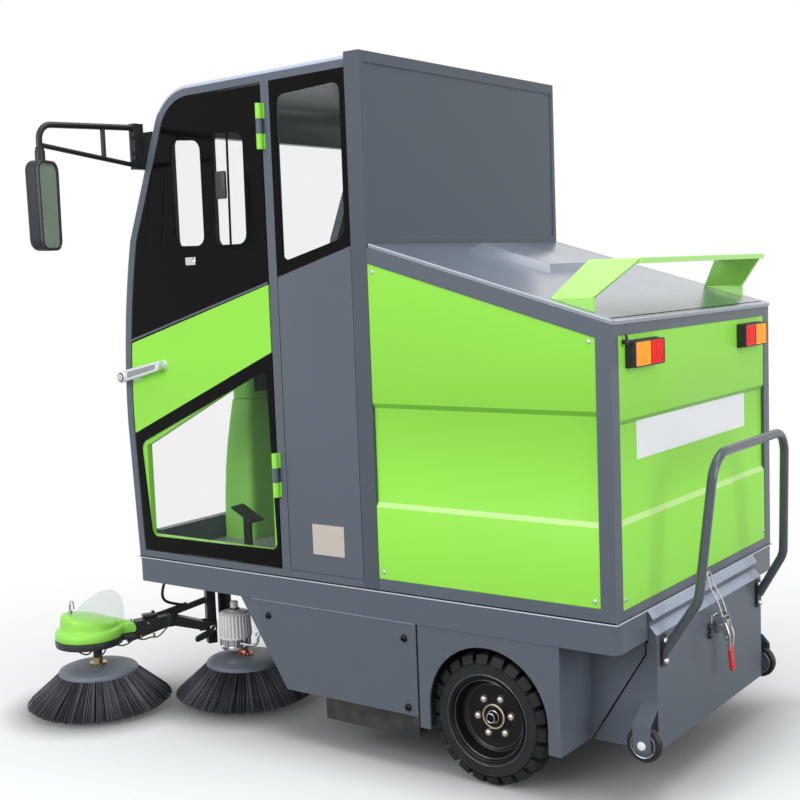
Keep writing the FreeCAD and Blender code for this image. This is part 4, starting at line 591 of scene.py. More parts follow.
# Slots and finishes of the CAD nodes whose edges are rounded
SOFT_EDGES = [
    ("slate_paint", SLATE_PAINT, ["chassis_frame", "cab_frame", "mid_panels", "body_frame",
                                  "side_skirts", "wheel_housings", "roof_panel",
                                  "hopper_bin", "caster_brackets"]),
    ("slate_paint", GRIP_PAINT, ["push_handle"]),
    ("slate_paint", SHADED_WALL_PAINT, ["cab_wall"]),
    ("slate_paint", LIT_LID_PAINT, ["deck_lid"]),
    ("lime_paint", LIME_PAINT, ["side_panels", "rear_panel"]),
    ("lime_paint", SPOILER_LIME, ["spoiler"]),
    ("black_paint", BLACK_PAINT, ["brush_arm_left", "brush_arm_right", "brush_posts",
                                  "front_fork", "mirror_arms"]),
]


def soften_panels():
    """Softens every plate and tube of the body that SOFT_EDGES lists."""
    for slot, material, nodes in SOFT_EDGES:
        for node in nodes:
            soften(node, slot, material)


# Outlines of the clear windows in the panes, as (Y, Z) on the left side
WINDOW_FRONT = [(-0.529, 1.925), (-0.389, 1.914), (-0.389, 1.577), (-0.523, 1.58)]
WINDOW_REAR = [(-0.342, 1.933), (-0.204, 1.92), (-0.207, 1.576), (-0.351, 1.576)]
WINDOW_DARK = [(-0.622, 1.84), (-0.556, 1.826), (-0.592, 1.589), (-0.676, 1.589)]
WINDOW_LOW = [(-0.711, 0.611), (-0.143, 0.618), (-0.157, 1.186), (-0.741, 0.929)]
WINDOW_QUARTER = [(-0.069, 2.015), (0.179, 2.029), (0.178, 1.582), (-0.065, 1.518)]
WINDOW_SPLIT = [(-0.277, 1.93), (-0.271, 1.93), (-0.276, 1.576), (-0.282, 1.576)]
# The panes' inner face and thickness, and how far a clear window lies inside both faces
PANE_BACK_FACE = 0.5525
PANE_THICK = 0.006
CLEAR_INSET = 0.0015


def section_of(bm, node, level, axis="x"):
    """Puts the edges where a plane across an axis cuts a node into a mesh."""
    cut = bmesh.new()
    cut.from_mesh(frame["nodes"][node].data)
    bmesh.ops.remove_doubles(cut, verts=cut.verts, dist=MERGE_GAP)
    bmesh.ops.bisect_plane(cut, geom=cut.verts[:] + cut.edges[:] + cut.faces[:],
                           plane_co=point(axis, level, (0, 0)),
                           plane_no=point(axis, 1, (0, 0)),
                           clear_inner=True, clear_outer=True)
    bmesh.ops.dissolve_limit(cut, angle_limit=math.radians(0.5), verts=cut.verts,
                             edges=cut.edges)
    mesh = bpy.data.meshes.new("section")
    cut.to_mesh(mesh)
    cut.free()
    bm.from_mesh(mesh)
    bpy.data.meshes.remove(mesh)


def make_pane(name, node, body, windows, side):
    """A black pane with clear windows: the node's own outline with openings in it."""
    bm = bmesh.new()
    level = side * (PANE_BACK_FACE + PANE_THICK / 2)
    section_of(bm, node, level)
    for outline, radius in windows:
        faces = flat_face(bm, "x", level, outline, radius)
        bmesh.ops.delete(bm, geom=faces, context="FACES_ONLY")
    for vert in bm.verts:
        vert.co.x = PANE_BACK_FACE
    bmesh.ops.triangle_fill(bm, use_beauty=True, use_dissolve=False, edges=bm.edges[:])
    raise_faces(bm, bm.faces[:], "x", PANE_THICK)
    for face in bm.faces:
        if face.calc_center_median().x < PANE_BACK_FACE + 0.0001:
            face.material_index = 1
    return add_piece(name, bm, body, "door_pane", TINTED, TINTED_BACK, side=side)


def make_clear(name, body, outline, radius, side):
    """A clear pane that fills a window of the black one."""
    bm = bmesh.new()
    slab(bm, "x", PANE_BACK_FACE + CLEAR_INSET, PANE_BACK_FACE + PANE_THICK - CLEAR_INSET,
         outline, radius + 0.0005)
    add_piece(name, bm, body, "clear_glass", CLEAR, side=side)


def make_panes(side, label):
    """A door's black pane and windows, the quarter window behind it, and their trim."""
    door = "door_" + label
    windows = [(WINDOW_FRONT, 0.034), (WINDOW_REAR, 0.034), (WINDOW_LOW, 0.024)]
    pane = make_pane("door_pane_" + label, "door_glass_" + label, door, windows, side)
    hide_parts("door_glass_" + label)
    for name, (outline, radius) in zip(("front", "rear", "low"), windows):
        make_clear("window_%s_%s" % (name, label), door, outline, radius, side)
    quarter = make_pane("quarter_pane_" + label, "quarter_glass", "chassis",
                        [(WINDOW_QUARTER, 0.026)], side)
    if side > 0:
        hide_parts("quarter_glass")
    make_clear("window_quarter_" + label, "chassis", WINDOW_QUARTER, 0.026, side)
    level = PANE_BACK_FACE + PANE_THICK
    bm = bmesh.new()
    border(bm, "x", level - 0.001, level + 0.0012, WINDOW_DARK, 0.024, 0.006)
    for outline, radius in windows[:2]:
        border(bm, "x", level - 0.001, level + 0.0008, outline, radius, 0.0035)
    slab(bm, "x", level - 0.003, level + 0.001, WINDOW_SPLIT)
    add_piece("window_beads_" + label, bm, door, "black_plastic", SEAL_BLACK_AND_SEAM_SHADE, side=side)
    bm = bmesh.new()
    block(bm, (level - 0.003, -0.325, 1.722), (level + 0.008, -0.284, 1.808), 0.004)
    add_piece("window_slider_" + label, bm, door, "black_plastic", MOULDED, side=side)
    bm = bmesh.new()
    block(bm, (level - 0.001, -0.478, 1.52), (level + 0.005, -0.434, 1.546), 0.0024)
    block(bm, (level + 0.004, -0.468, 1.528), (level + 0.0065, -0.444, 1.538), 0.001)
    add_piece("window_latch_" + label, bm, door, "chrome_silver", CHROME, side=side)


def middle_of(node):
    """The middle of a node's box at rest."""
    low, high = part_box(node)
    return (Vector(low) + Vector(high)) / 2


def moved(bm, matrix):
    """Moves, turns or scales a whole shape."""
    bmesh.ops.transform(bm, matrix=matrix, verts=bm.verts)


def round_axis(centre, axis, count, start=0.0):
    """Turns evenly spaced round an axis."""
    there = Matrix.Translation(Vector(centre))
    back = there.inverted()
    return [there @ Matrix.Rotation(start + math.tau * step / count, 4, Vector(axis)) @ back
            for step in range(count)]


def repeat(bm, item, matrices):
    """Adds a copy of a small shape at each place."""
    mesh = bpy.data.meshes.new("repeat")
    item.to_mesh(mesh)
    item.free()
    for matrix in matrices:
        start = len(bm.verts)
        bm.from_mesh(mesh)
        bm.verts.ensure_lookup_table()
        bmesh.ops.transform(bm, matrix=matrix, verts=bm.verts[start:])
    bpy.data.meshes.remove(mesh)


def ring(bm, centre, axis, radius, tube, steps=40, sides=10):
    """A round ring of round wire."""
    angles = [math.tau * side / sides for side in range(sides)]
    turned(bm, [(radius + tube * math.cos(angle), tube * math.sin(angle)) for angle in angles],
           centre, axis, steps, closed=True)


def seam_round(bm, node, axis, section, low, high, width=0.0028):
    """A thin dark line painted outside a panel's edge, as the shade in the gap where it meets its
    frame.
    """
    line = bmesh.new()
    section_of(line, node, section, axis)
    index = "xyz".index(axis)
    for vert in line.verts:
        vert.co[index] = low
    bmesh.ops.triangle_fill(line, use_beauty=True, use_dissolve=True, edges=line.edges[:])
    inner = line.faces[:]
    rim = bmesh.ops.inset_region(line, faces=inner, thickness=width, use_even_offset=True,
                                 use_boundary=True, use_outset=True)["faces"]
    bmesh.ops.delete(line, geom=inner, context="FACES")
    raise_faces(line, rim, axis, high - low)
    repeat(bm, line, [Matrix.Identity(4)])


# The lid's slope
LID_FALL = math.atan2(0.228, 0.776)


def lid_height(back):
    """The lid's top surface at a place along Y."""
    return 1.56 - math.tan(LID_FALL) * (back - 0.256)


def make_seams():
    """Dark strips painted as the shade in the gaps round the panels and at the lid, and bright
    beads painted as highlights along edges that catch the light.
    """
    # Dark lines painted as the shade in the gaps round the side and rear panels, and above the
    # sill's top edge
    seams = bmesh.new()
    for side in (1, -1):
        seam_round(seams, "side_panels", "x", side * 0.557, side * 0.5592,
                   side * (SIDE + 0.0003))
        block(seams, (side * 0.5598, -0.775, 0.5352), (side * 0.5612, 1.03, 0.5385), 0.0004)
    seam_round(seams, "rear_panel", "y", 1.0285, 1.0292, 1.0303)
    add_piece("panel_seam_shadows", seams, "chassis", "black_plastic", SEAL_BLACK_AND_SEAM_SHADE)
    # Bright beads painted as highlights along the sill's top edges and the skirts' top edges
    edges = bmesh.new()
    for side in (1, -1):
        bar(edges, (side * 0.5625, -0.78, 0.5332), (side * 0.5625, 1.0362, 0.5332), 0.0021, 8)
        bar(edges, (side * 0.5596, -0.262, 0.4505), (side * 0.5596, 0.38, 0.4505), 0.0019, 8)
    bar(edges, (-0.5605, 1.0362, 0.5332), (0.5605, 1.0362, 0.5332), 0.0021, 8)
    add_piece("sill_edge_highlights", edges, "chassis", "slate_paint", PAINTED_EDGE_HIGHLIGHT)
    # Bright beads painted as highlights along the lid's rear and side edges
    lines = bmesh.new()
    rear, height = 1.0355, lid_height(1.0355) - 0.0014
    bar(lines, (-0.545, rear, height), (0.545, rear, height), 0.0028, 8)
    for side in (1, -1):
        bar(lines, *((side * 0.5545, back, lid_height(back) - 0.0012) for back in (0.262, 1.035)),
            0.0022, 8)
    add_piece("lid_edge_highlights", lines, "deck_lid", "slate_paint", PAINTED_EDGE_HIGHLIGHT)
    # A dark strip painted on the lid as the shade in the gap at its rear edge
    joint = bmesh.new()
    block(joint, (-0.53, -0.0022, -0.001), (0.53, 0.0022, 0.0006), 0.0003)
    moved(joint, Matrix.Translation((0, 1.018, lid_height(1.018)))
          @ Matrix.Rotation(-LID_FALL, 4, "X"))
    add_piece("lid_gap_shadow", joint, "deck_lid", "black_plastic", SEAL_BLACK_AND_SEAM_SHADE)


# Wheels

LUGS = 22
RIM_BOLTS = 6


def tyre_profile():
    """Half of a tyre's section, from its bead up to the middle of the tread."""
    return [(0.1243, 0.041), (0.1262, 0.0462), (0.1285, 0.0478), (0.131, 0.0478), (0.1328, 0.0462),
            (0.135, 0.0455), (0.148, 0.0466), (0.159, 0.0462), (0.1605, 0.0479), (0.1628, 0.0479),
            (0.1645, 0.0455), (0.167, 0.04), (0.1715, 0.033), (0.175, 0.024), (0.177, 0.012),
            (0.1775, 0.0)]


def make_lug():
    """A shoulder lug that wraps over the edge of the tread, standing at the wheel's top."""
    bm = bmesh.new()
    block(bm, (0.013, -0.0205, 0.1655), (0.0474, 0.0205, 0.1942))
    for vert in bm.verts:
        if vert.co.z > 0.19 and vert.co.x > 0.04:
            vert.co.x -= 0.0085
            vert.co.z -= 0.0045
        if vert.co.z > 0.18:
            vert.co.y *= 0.95
    top = [edge for edge in bm.edges if all(vert.co.z > 0.18 for vert in edge.verts)]
    bmesh.ops.bevel(bm, geom=top, offset=0.0028, segments=2, profile=0.5, affect="EDGES",
                    material=-1)
    across = [edge for edge in bm.edges
              if abs(edge.verts[0].co.y - edge.verts[1].co.y) > 0.03]
    bmesh.ops.subdivide_edges(bm, edges=across, cuts=3, use_grid_fill=True)
    for vert in bm.verts:
        turn = vert.co.y / 0.19
        vert.co.y, vert.co.z = vert.co.z * math.sin(turn), vert.co.z * math.cos(turn)
    return bm


def left_middle(node):
    """A node's middle, taken to the machine's left; add_piece mirrors the right ones."""
    centre = middle_of(node)
    centre.x = abs(centre.x)
    return centre


def make_tyre(node, side):
    """A tyre with two rows of shoulder lugs, set half a lug apart."""
    half = tyre_profile()
    bm = bmesh.new()
    turned(bm, half + [(radius, -along) for radius, along in reversed(half[:-1])],
           (0, 0, 0), AXLE, 88, closed=True)
    for shoulder in (1, -1):
        lug = make_lug()
        if shoulder < 0:
            bmesh.ops.scale(lug, vec=(-1, 1, 1), verts=lug.verts)
        repeat(bm, lug, round_axis((0, 0, 0), AXLE, LUGS, math.radians(4.0 * shoulder)))
    moved(bm, Matrix.Translation(left_middle(node)))
    add_piece(node + "_lugged", bm, body_of(node), "tyre_rubber", TYRE, side=side,
              over=[node], sharp=28)


# A rim's section, from the hub over the front to the flange, and back: (radius, along)
RIM_FRONT = [(0.0155, 0.0095), (0.03, 0.0095), (0.033, 0.0088), (0.0366, 0.0066), (0.0372, 0.003),
             (0.06, 0.0022), (0.088, 0.0028), (0.093, 0.0044), (0.0958, 0.0044), (0.0985, 0.0026),
             (0.103, 0.004), (0.1062, 0.0085), (0.1085, 0.02), (0.1102, 0.0325), (0.1122, 0.0372),
             (0.115, 0.0384), (0.1166, 0.0402), (0.1172, 0.044), (0.119, 0.047), (0.1212, 0.0479),
             (0.1236, 0.0472)]
RIM_BACK = [(0.1236, -0.0472), (0.1195, -0.047), (0.1168, -0.044), (0.106, -0.011),
            (0.1, -0.007), (0.0155, -0.007)]


def make_rim(node, side):
    """A dished rim with its bolts, hub ring and nut, and grey rings painted as highlight lines on
    its lips and at the tyre's bead.
    """
    body = body_of(node)
    centre = left_middle(node)
    bm = bmesh.new()
    turned(bm, RIM_FRONT + RIM_BACK, centre, AXLE, 72, closed=True)
    add_piece(node + "_dished", bm, body, "rim_black", RIM_PAINT, side=side, over=[node],
              sharp=40)
    bm = bmesh.new()
    bolt = bmesh.new()
    turned(bolt, [(0.0, 0.0105), (0.005, 0.01), (0.009, 0.0078), (0.0112, 0.004),
                  (0.0118, 0.0), (0.0118, -0.001)], centre + Vector((0.0022, 0.0, 0.057)),
           AXLE, 20)
    repeat(bm, bolt, round_axis(centre, AXLE, RIM_BOLTS, math.radians(37.5)))
    add_piece(node + "_bolts", bm, body, "chrome_silver", BOLT_SILVER, side=side)
    bm = bmesh.new()
    turned(bm, [(0.0372, 0.006), (0.0372, 0.0105), (0.0352, 0.0122), (0.0325, 0.0118),
                (0.0312, 0.01), (0.0312, 0.006)], centre, AXLE, 48, closed=True)
    add_piece(node + "_hub_ring", bm, body, "chrome_silver", HUB_METAL, side=side)
    bm = bmesh.new()
    foot = centre + Vector((0.0102, 0, 0))
    for radius, along in ((0.0178, 0.001), (0.0132, 0.0155)):
        ring(bm, foot + Vector((along, 0, 0)), AXLE, radius, 0.0016, 40, 8)
    add_piece(node + "_hub_rims", bm, body, "steel", ZINC_STEEL, side=side)
    bm = bmesh.new()
    turned(bm, [(0.02, -0.0004), (0.02, 0.0012), (0.0142, 0.002), (0.0142, 0.015),
                (0.0125, 0.0166), (0.009, 0.0166), (0.008, 0.0135), (0.0, 0.0135)],
           foot, AXLE, 40)
    add_piece(node + "_nut", bm, body, "black_paint", RIM_PAINT, side=side)
    # Grey rings painted as highlight lines on the rim's lips and at the tyre's bead
    bm = bmesh.new()
    for along, radius, tube, steps in ((0.0476, 0.133, 0.0012, 88), (0.0388, 0.1142, 0.001, 80),
                                       (0.0044, 0.0944, 0.0009, 72)):
        ring(bm, centre + Vector((along, 0, 0)), AXLE, radius, tube, steps, 8)
    add_piece(node + "_bright_rings", bm, body, "rim_black", PAINTED_RING_HIGHLIGHT, side=side)


def make_wheels():
    """The three wheels; the front one is built on the machine's middle line."""
    for label, side in (("rear_%s_left", 1), ("rear_%s_right", -1), ("front_%s", 1)):
        make_tyre(label % "tyre", side)
        make_rim(label % "rim", side)


def make_caster(side, label):
    """A caster's tyre, disc, bright rings and axle cap."""
    node = "caster_wheel_" + label
    body = body_of(node)
    centre = left_middle(node)
    half = [(0.036, 0.0118), (0.04, 0.0125), (0.047, 0.0118), (0.05, 0.008)]
    bm = bmesh.new()
    turned(bm, [(radius, -along) for radius, along in half] + [(0.051, 0.0)] + half[::-1],
           centre, AXLE, 56, closed=True)
    add_piece("caster_tread_" + label, bm, body, "tyre_rubber", BLACK_PAINT, side=side,
              over=[node])
    half = [(0.0062, 0.009), (0.0345, 0.009), (0.0362, 0.0122)]
    bm = bmesh.new()
    turned(bm, [(radius, -along) for radius, along in half] + half[::-1], centre, AXLE, 48,
           closed=True)
    add_piece("caster_disc_" + label, bm, body, "slate_paint", SLATE_PAINT, side=side)
    bm = bmesh.new()
    for face in (0.0124, -0.0124):
        ring(bm, centre + Vector((face, 0, 0)), AXLE, 0.0355, 0.0011, 56, 8)
    add_piece("caster_ring_" + label, bm, body, "chrome_silver", CHROME, side=side)
    bm = bmesh.new()
    turned(bm, [(0.0, 0.005), (0.006, 0.0048), (0.0105, 0.003), (0.0125, 0.0),
                (0.0125, -0.001)], (0.4492, centre.y, centre.z), AXLE, 28)
    add_piece("caster_cap_" + label, bm, "hopper", "chrome_silver", WHITE_PLATE, side=side)


# Sweeping gear

# Where the left arm's post stands
POST = Vector((0.273, -0.74, 0.0))
# Tufts round a side brush, their rows, and the bristles in a row
TUFTS = 44
ROWS = 4
ROW_BRISTLES = 9
# Ribs round a drive, and the roller broom's half length, rows and tufts in a row
MOTOR_RIBS = 28
BROOM_HALF = 0.335
BROOM_ROWS = 8
BROOM_TUFTS = 66


def brush_bristles():
    """Rows of splayed bristles in tufts, with the dark core behind them, about the brush's axis."""
    chance = random.Random(7)
    bm = bmesh.new()
    streak = bm.verts.layers.float.new("streak")
    turned(bm, [(0.098, 0.1218), (0.214, 0.009), (0.204, 0.007), (0.09, 0.1218)],
           (0, 0, 0), steps=72, closed=True)
    sector = math.tau / TUFTS
    for tuft in range(TUFTS):
        lean = chance.gauss(0.0, 0.008)
        tone = chance.uniform(0.0, 0.35)
        for row in range(ROWS):
            for spot in range(ROW_BRISTLES):
                angle = (tuft + ((spot + 0.5) / ROW_BRISTLES - 0.5) * 0.84) * sector
                tip_angle = angle + lean + chance.gauss(0.0, 0.007)
                root = 0.104 + 0.0098 * row
                reach = 0.2205 + 0.0095 * row - chance.uniform(0.0, 0.005)
                height = 0.0035 + 0.0058 * row + chance.uniform(0.0, 0.006)
                start = (root * math.cos(angle), root * math.sin(angle), 0.124)
                end = (reach * math.cos(tip_angle), reach * math.sin(tip_angle), height)
                shade = tone + 0.65 * chance.random() ** 2
                for vert in bar(bm, start, end, 0.002, 3, 0.0012):
                    vert[streak] = shade
    mesh = bpy.data.meshes.new("bristles")
    bm.to_mesh(mesh)
    bm.free()
    return mesh


def make_brush(bristles, node, side, turn):
    """A side brush: the shared bristles turned to their own angle, and the disc over them."""
    centre = left_middle(node)
    foot = Matrix.Translation((centre.x, centre.y, 0.0))
    bm = bmesh.new()
    bm.from_mesh(bristles)
    moved(bm, foot @ Matrix.Rotation(turn, 4, "Z"))
    add_piece(node + "_bristles", bm, node, "bristle", BRISTLE, side=side, over=[node],
              sharp=170)
    bm = bmesh.new()
    turned(bm, [(0.0, 0.1498), (0.04, 0.1496), (0.07, 0.1482), (0.1, 0.1446), (0.12, 0.14),
                (0.13, 0.1362), (0.1345, 0.1332), (0.1362, 0.13), (0.1366, 0.1225),
                (0.134, 0.1212), (0.0, 0.1212)], foot.translation, steps=96)
    add_piece(node + "_disc", bm, node, "bristle", DISC, side=side)


def make_brushes():
    """The four side brushes, each turned a little further than the last."""
    bristles = brush_bristles()
    for index, name in enumerate(("outer_brush_left", "inner_brush_left",
                                  "outer_brush_right", "inner_brush_right")):
        make_brush(bristles, name, 1 if name.endswith("left") else -1, 0.37 * index)
    bpy.data.meshes.remove(bristles)


def make_motor(side, label):
    """The inner brush's finned drive on its bent bracket."""
    brush = middle_of("inner_brush_left")
    axle = Vector((brush.x, brush.y, 0.0))
    centre = axle + Vector((0.0, -0.042, 0.0))

    def at(across, back, height):
        """A place measured from the middle of the drive."""
        return centre + Vector((across, back, height))

    bm = bmesh.new()
    turned(bm, [(0.0, 0.206), (0.053, 0.206), (0.057, 0.2075), (0.058, 0.211), (0.057, 0.215),
                (0.053, 0.2165), (0.053, 0.286), (0.0515, 0.293), (0.047, 0.2985),
                (0.04, 0.301), (0.023, 0.3025), (0.02, 0.3045), (0.0, 0.3045)],
           centre, steps=72)
    rib = bmesh.new()
    block(rib, (0.05, -0.003, 0.215), (0.0595, 0.003, 0.296), 0.0022)
    for vert in rib.verts:
        if vert.co.z > 0.29 and vert.co.x > 0.055:
            vert.co.x -= 0.004
    moved(rib, Matrix.Translation(centre))
    repeat(bm, rib, round_axis(centre, UPRIGHT, MOTOR_RIBS))
    turned(bm, [(0.0, 0.336), (0.0115, 0.336), (0.014, 0.334), (0.0142, 0.309),
                (0.016, 0.308), (0.016, 0.303), (0.0, 0.303)], centre, steps=32)
    add_piece("motor_ribs_" + label, bm, "chassis", "motor_silver", CAST, side=side,
              over=["brush_motors"] if side > 0 else ())
    bm = bmesh.new()
    turned(bm, [(0.0145, 0.3065), (0.0185, 0.3075), (0.0185, 0.3115), (0.0145, 0.3125)],
           centre, steps=32, closed=True)
    block(bm, at(-0.06, -0.082, 0.163), at(-0.002, -0.002, 0.175), 0.0025)
    block(bm, at(-0.06, -0.082, 0.163), at(-0.002, -0.07, 0.5275), 0.0025)
    for bolt in (0.42, 0.48):
        hex_bolt(bm, at(-0.031, -0.0695, bolt), BACKWARD, 0.007, 0.006)
    add_piece("motor_bracket_" + label, bm, "chassis", "black_paint", BLACK_PAINT, side=side)
    bm = bmesh.new()
    turned(bm, [(0.0, 0.168), (0.049, 0.168), (0.052, 0.17), (0.052, 0.179), (0.045, 0.18),
                (0.045, 0.2065), (0.0, 0.2065)], centre, steps=56)
    nut = bmesh.new()
    bar(nut, at(0.045, 0, 0.1785), at(0.045, 0, 0.2062), 0.0092, 12)
    repeat(bm, nut, round_axis(centre, UPRIGHT, 8))
    rod(bm, [at(0.02, 0.044, 0.192), at(0.016, 0.075, 0.19), at(0.012, 0.104, 0.192),
             at(0.01, 0.118, 0.206), at(0.01, 0.118, 0.226)], 0.0048)
    ring(bm, at(0.01, 0.117, 0.229), AXLE, 0.008, 0.0032, 28, 8)
    add_piece("motor_flange_" + label, bm, "chassis", "chrome_silver", CHROME, side=side)
    bm = bmesh.new()
    turned(bm, [(0.0, 0.1504), (0.03, 0.1504), (0.0306, 0.152), (0.029, 0.1535),
                (0.019, 0.1545), (0.0165, 0.157), (0.015, 0.166), (0.0, 0.166)],
           axle, steps=40)
    screws = bmesh.new()
    bar(screws, axle + Vector((0.0235, 0, 0.153)), axle + Vector((0.0235, 0, 0.1575)),
        0.0042, 6)
    repeat(bm, screws, round_axis(axle, UPRIGHT, 5))
    add_piece("motor_coupling_" + label, bm, "chassis", "steel", COPPER_METAL, side=side)


# A brush arm's turn and length in plan, and how far beyond it the cover's middle lies
ARM_TURN = math.atan2(-0.207, 0.355)
ARM_SPAN = math.hypot(0.207, 0.355)
ARM_FRAME = Matrix.Translation(POST) @ Matrix.Rotation(ARM_TURN, 4, "Z")
COVER_SHIFT = 0.025

# The brush cover's outline is a circle with a nose, and its side has two soft steps
COVER_RADIUS = 0.115
NOSE_REACH = 0.159
NOSE_HALF = 0.031
COVER_PROFILE = [
    (0.0, 0.2492), (0.109, 0.2492), (0.1128, 0.25), (0.1152, 0.2525), (0.1164, 0.258),
    (0.116, 0.267), (0.1142, 0.275), (0.1105, 0.28), (0.1045, 0.2822), (0.1, 0.284),
    (0.0978, 0.288), (0.0968, 0.296), (0.0955, 0.304), (0.0925, 0.312), (0.088, 0.3165),
    (0.081, 0.319), (0.05, 0.3205), (0.0, 0.321)]


def add_arm_piece(name, bm, side, label, slot, *materials, **options):
    """Places a piece that was drawn along X from the post, towards the outer brush."""
    moved(bm, ARM_FRAME)
    add_piece(name + "_" + label, bm, "brush_arm_" + label, slot, *materials, side=side,
              **options)


def egg_reach(angle):
    """How far the cover's outline lies from its centre: a circle with a nose towards -X."""
    turn = abs(math.pi - angle % math.tau)
    if turn > math.radians(75):
        return COVER_RADIUS
    straight = min(NOSE_REACH / math.cos(turn), NOSE_HALF / max(math.sin(turn), 0.0001))
    return (COVER_RADIUS ** 14 + straight ** 14) ** (1 / 14)


def make_cover(side, label):
    """The lime egg-shaped cover: two soft steps, a falling top, and a nose over the arm."""
    middle = (ARM_SPAN + COVER_SHIFT, 0, 0)
    bm = bmesh.new()
    turned(bm, COVER_PROFILE, (0, 0, 0), steps=96)
    for vert in bm.verts:
        radius = math.hypot(vert.co.x, vert.co.y)
        upper = min(max((vert.co.z - 0.2825) / 0.034, 0.0), 1.0)
        if radius > 0.0001:
            stretch = egg_reach(math.atan2(vert.co.y, vert.co.x)) / COVER_RADIUS - 1.0
            scale = 1.0 + stretch * min(radius / 0.09, 1.0) * (1.0 - 0.85 * upper)
            vert.co.x *= scale
            vert.co.y *= scale
        vert.co.z += upper * max(vert.co.x * 0.225, -0.016)
    moved(bm, Matrix.Translation(middle))
    add_arm_piece("cover_shell", bm, side, label, "lime_plastic", COVER, sharp=60,
                  over=["brush_cover_" + label])
    bm = bmesh.new()
    turned(bm, [(0.1, 0.2495), (0.1125, 0.2495), (0.116, 0.2475), (0.117, 0.242),
                (0.1166, 0.233), (0.114, 0.2275), (0.108, 0.2255), (0.1, 0.2255)],
           middle, steps=88, closed=True)
    add_arm_piece("cover_seal", bm, side, label, "black_paint", SEAL_GREY)


# The clear guard's outline, outward from the brush's axis, and the wires, inward from it
SHIELD = [(0.067, 0.325), (0.067, 0.345), (0.045, 0.367), (0.02, 0.383), (-0.008, 0.397),
          (-0.032, 0.406), (-0.055, 0.407), (-0.074, 0.398), (-0.088, 0.382), (-0.097, 0.36),
          (-0.1, 0.335), (-0.1, 0.28), (-0.07, 0.28)]
COVER_WIRES = [
    [(0.045, 0.045, 0.224), (0.07, 0.05, 0.212), (0.1, 0.046, 0.214), (0.118, 0.04, 0.226)],
    [(-0.02, 0.06, 0.226), (-0.034, 0.068, 0.206), (-0.06, 0.066, 0.204),
     (-0.085, 0.058, 0.226)],
    [(0.125, 0.0245, 0.232), (0.15, 0.029, 0.214), (0.185, 0.029, 0.224),
     (0.215, 0.029, 0.216), (0.255, 0.027, 0.262)],
    [(0.03, 0.03, 0.224), (0.02, 0.046, 0.196), (-0.006, 0.044, 0.186),
     (-0.026, 0.03, 0.224)]]


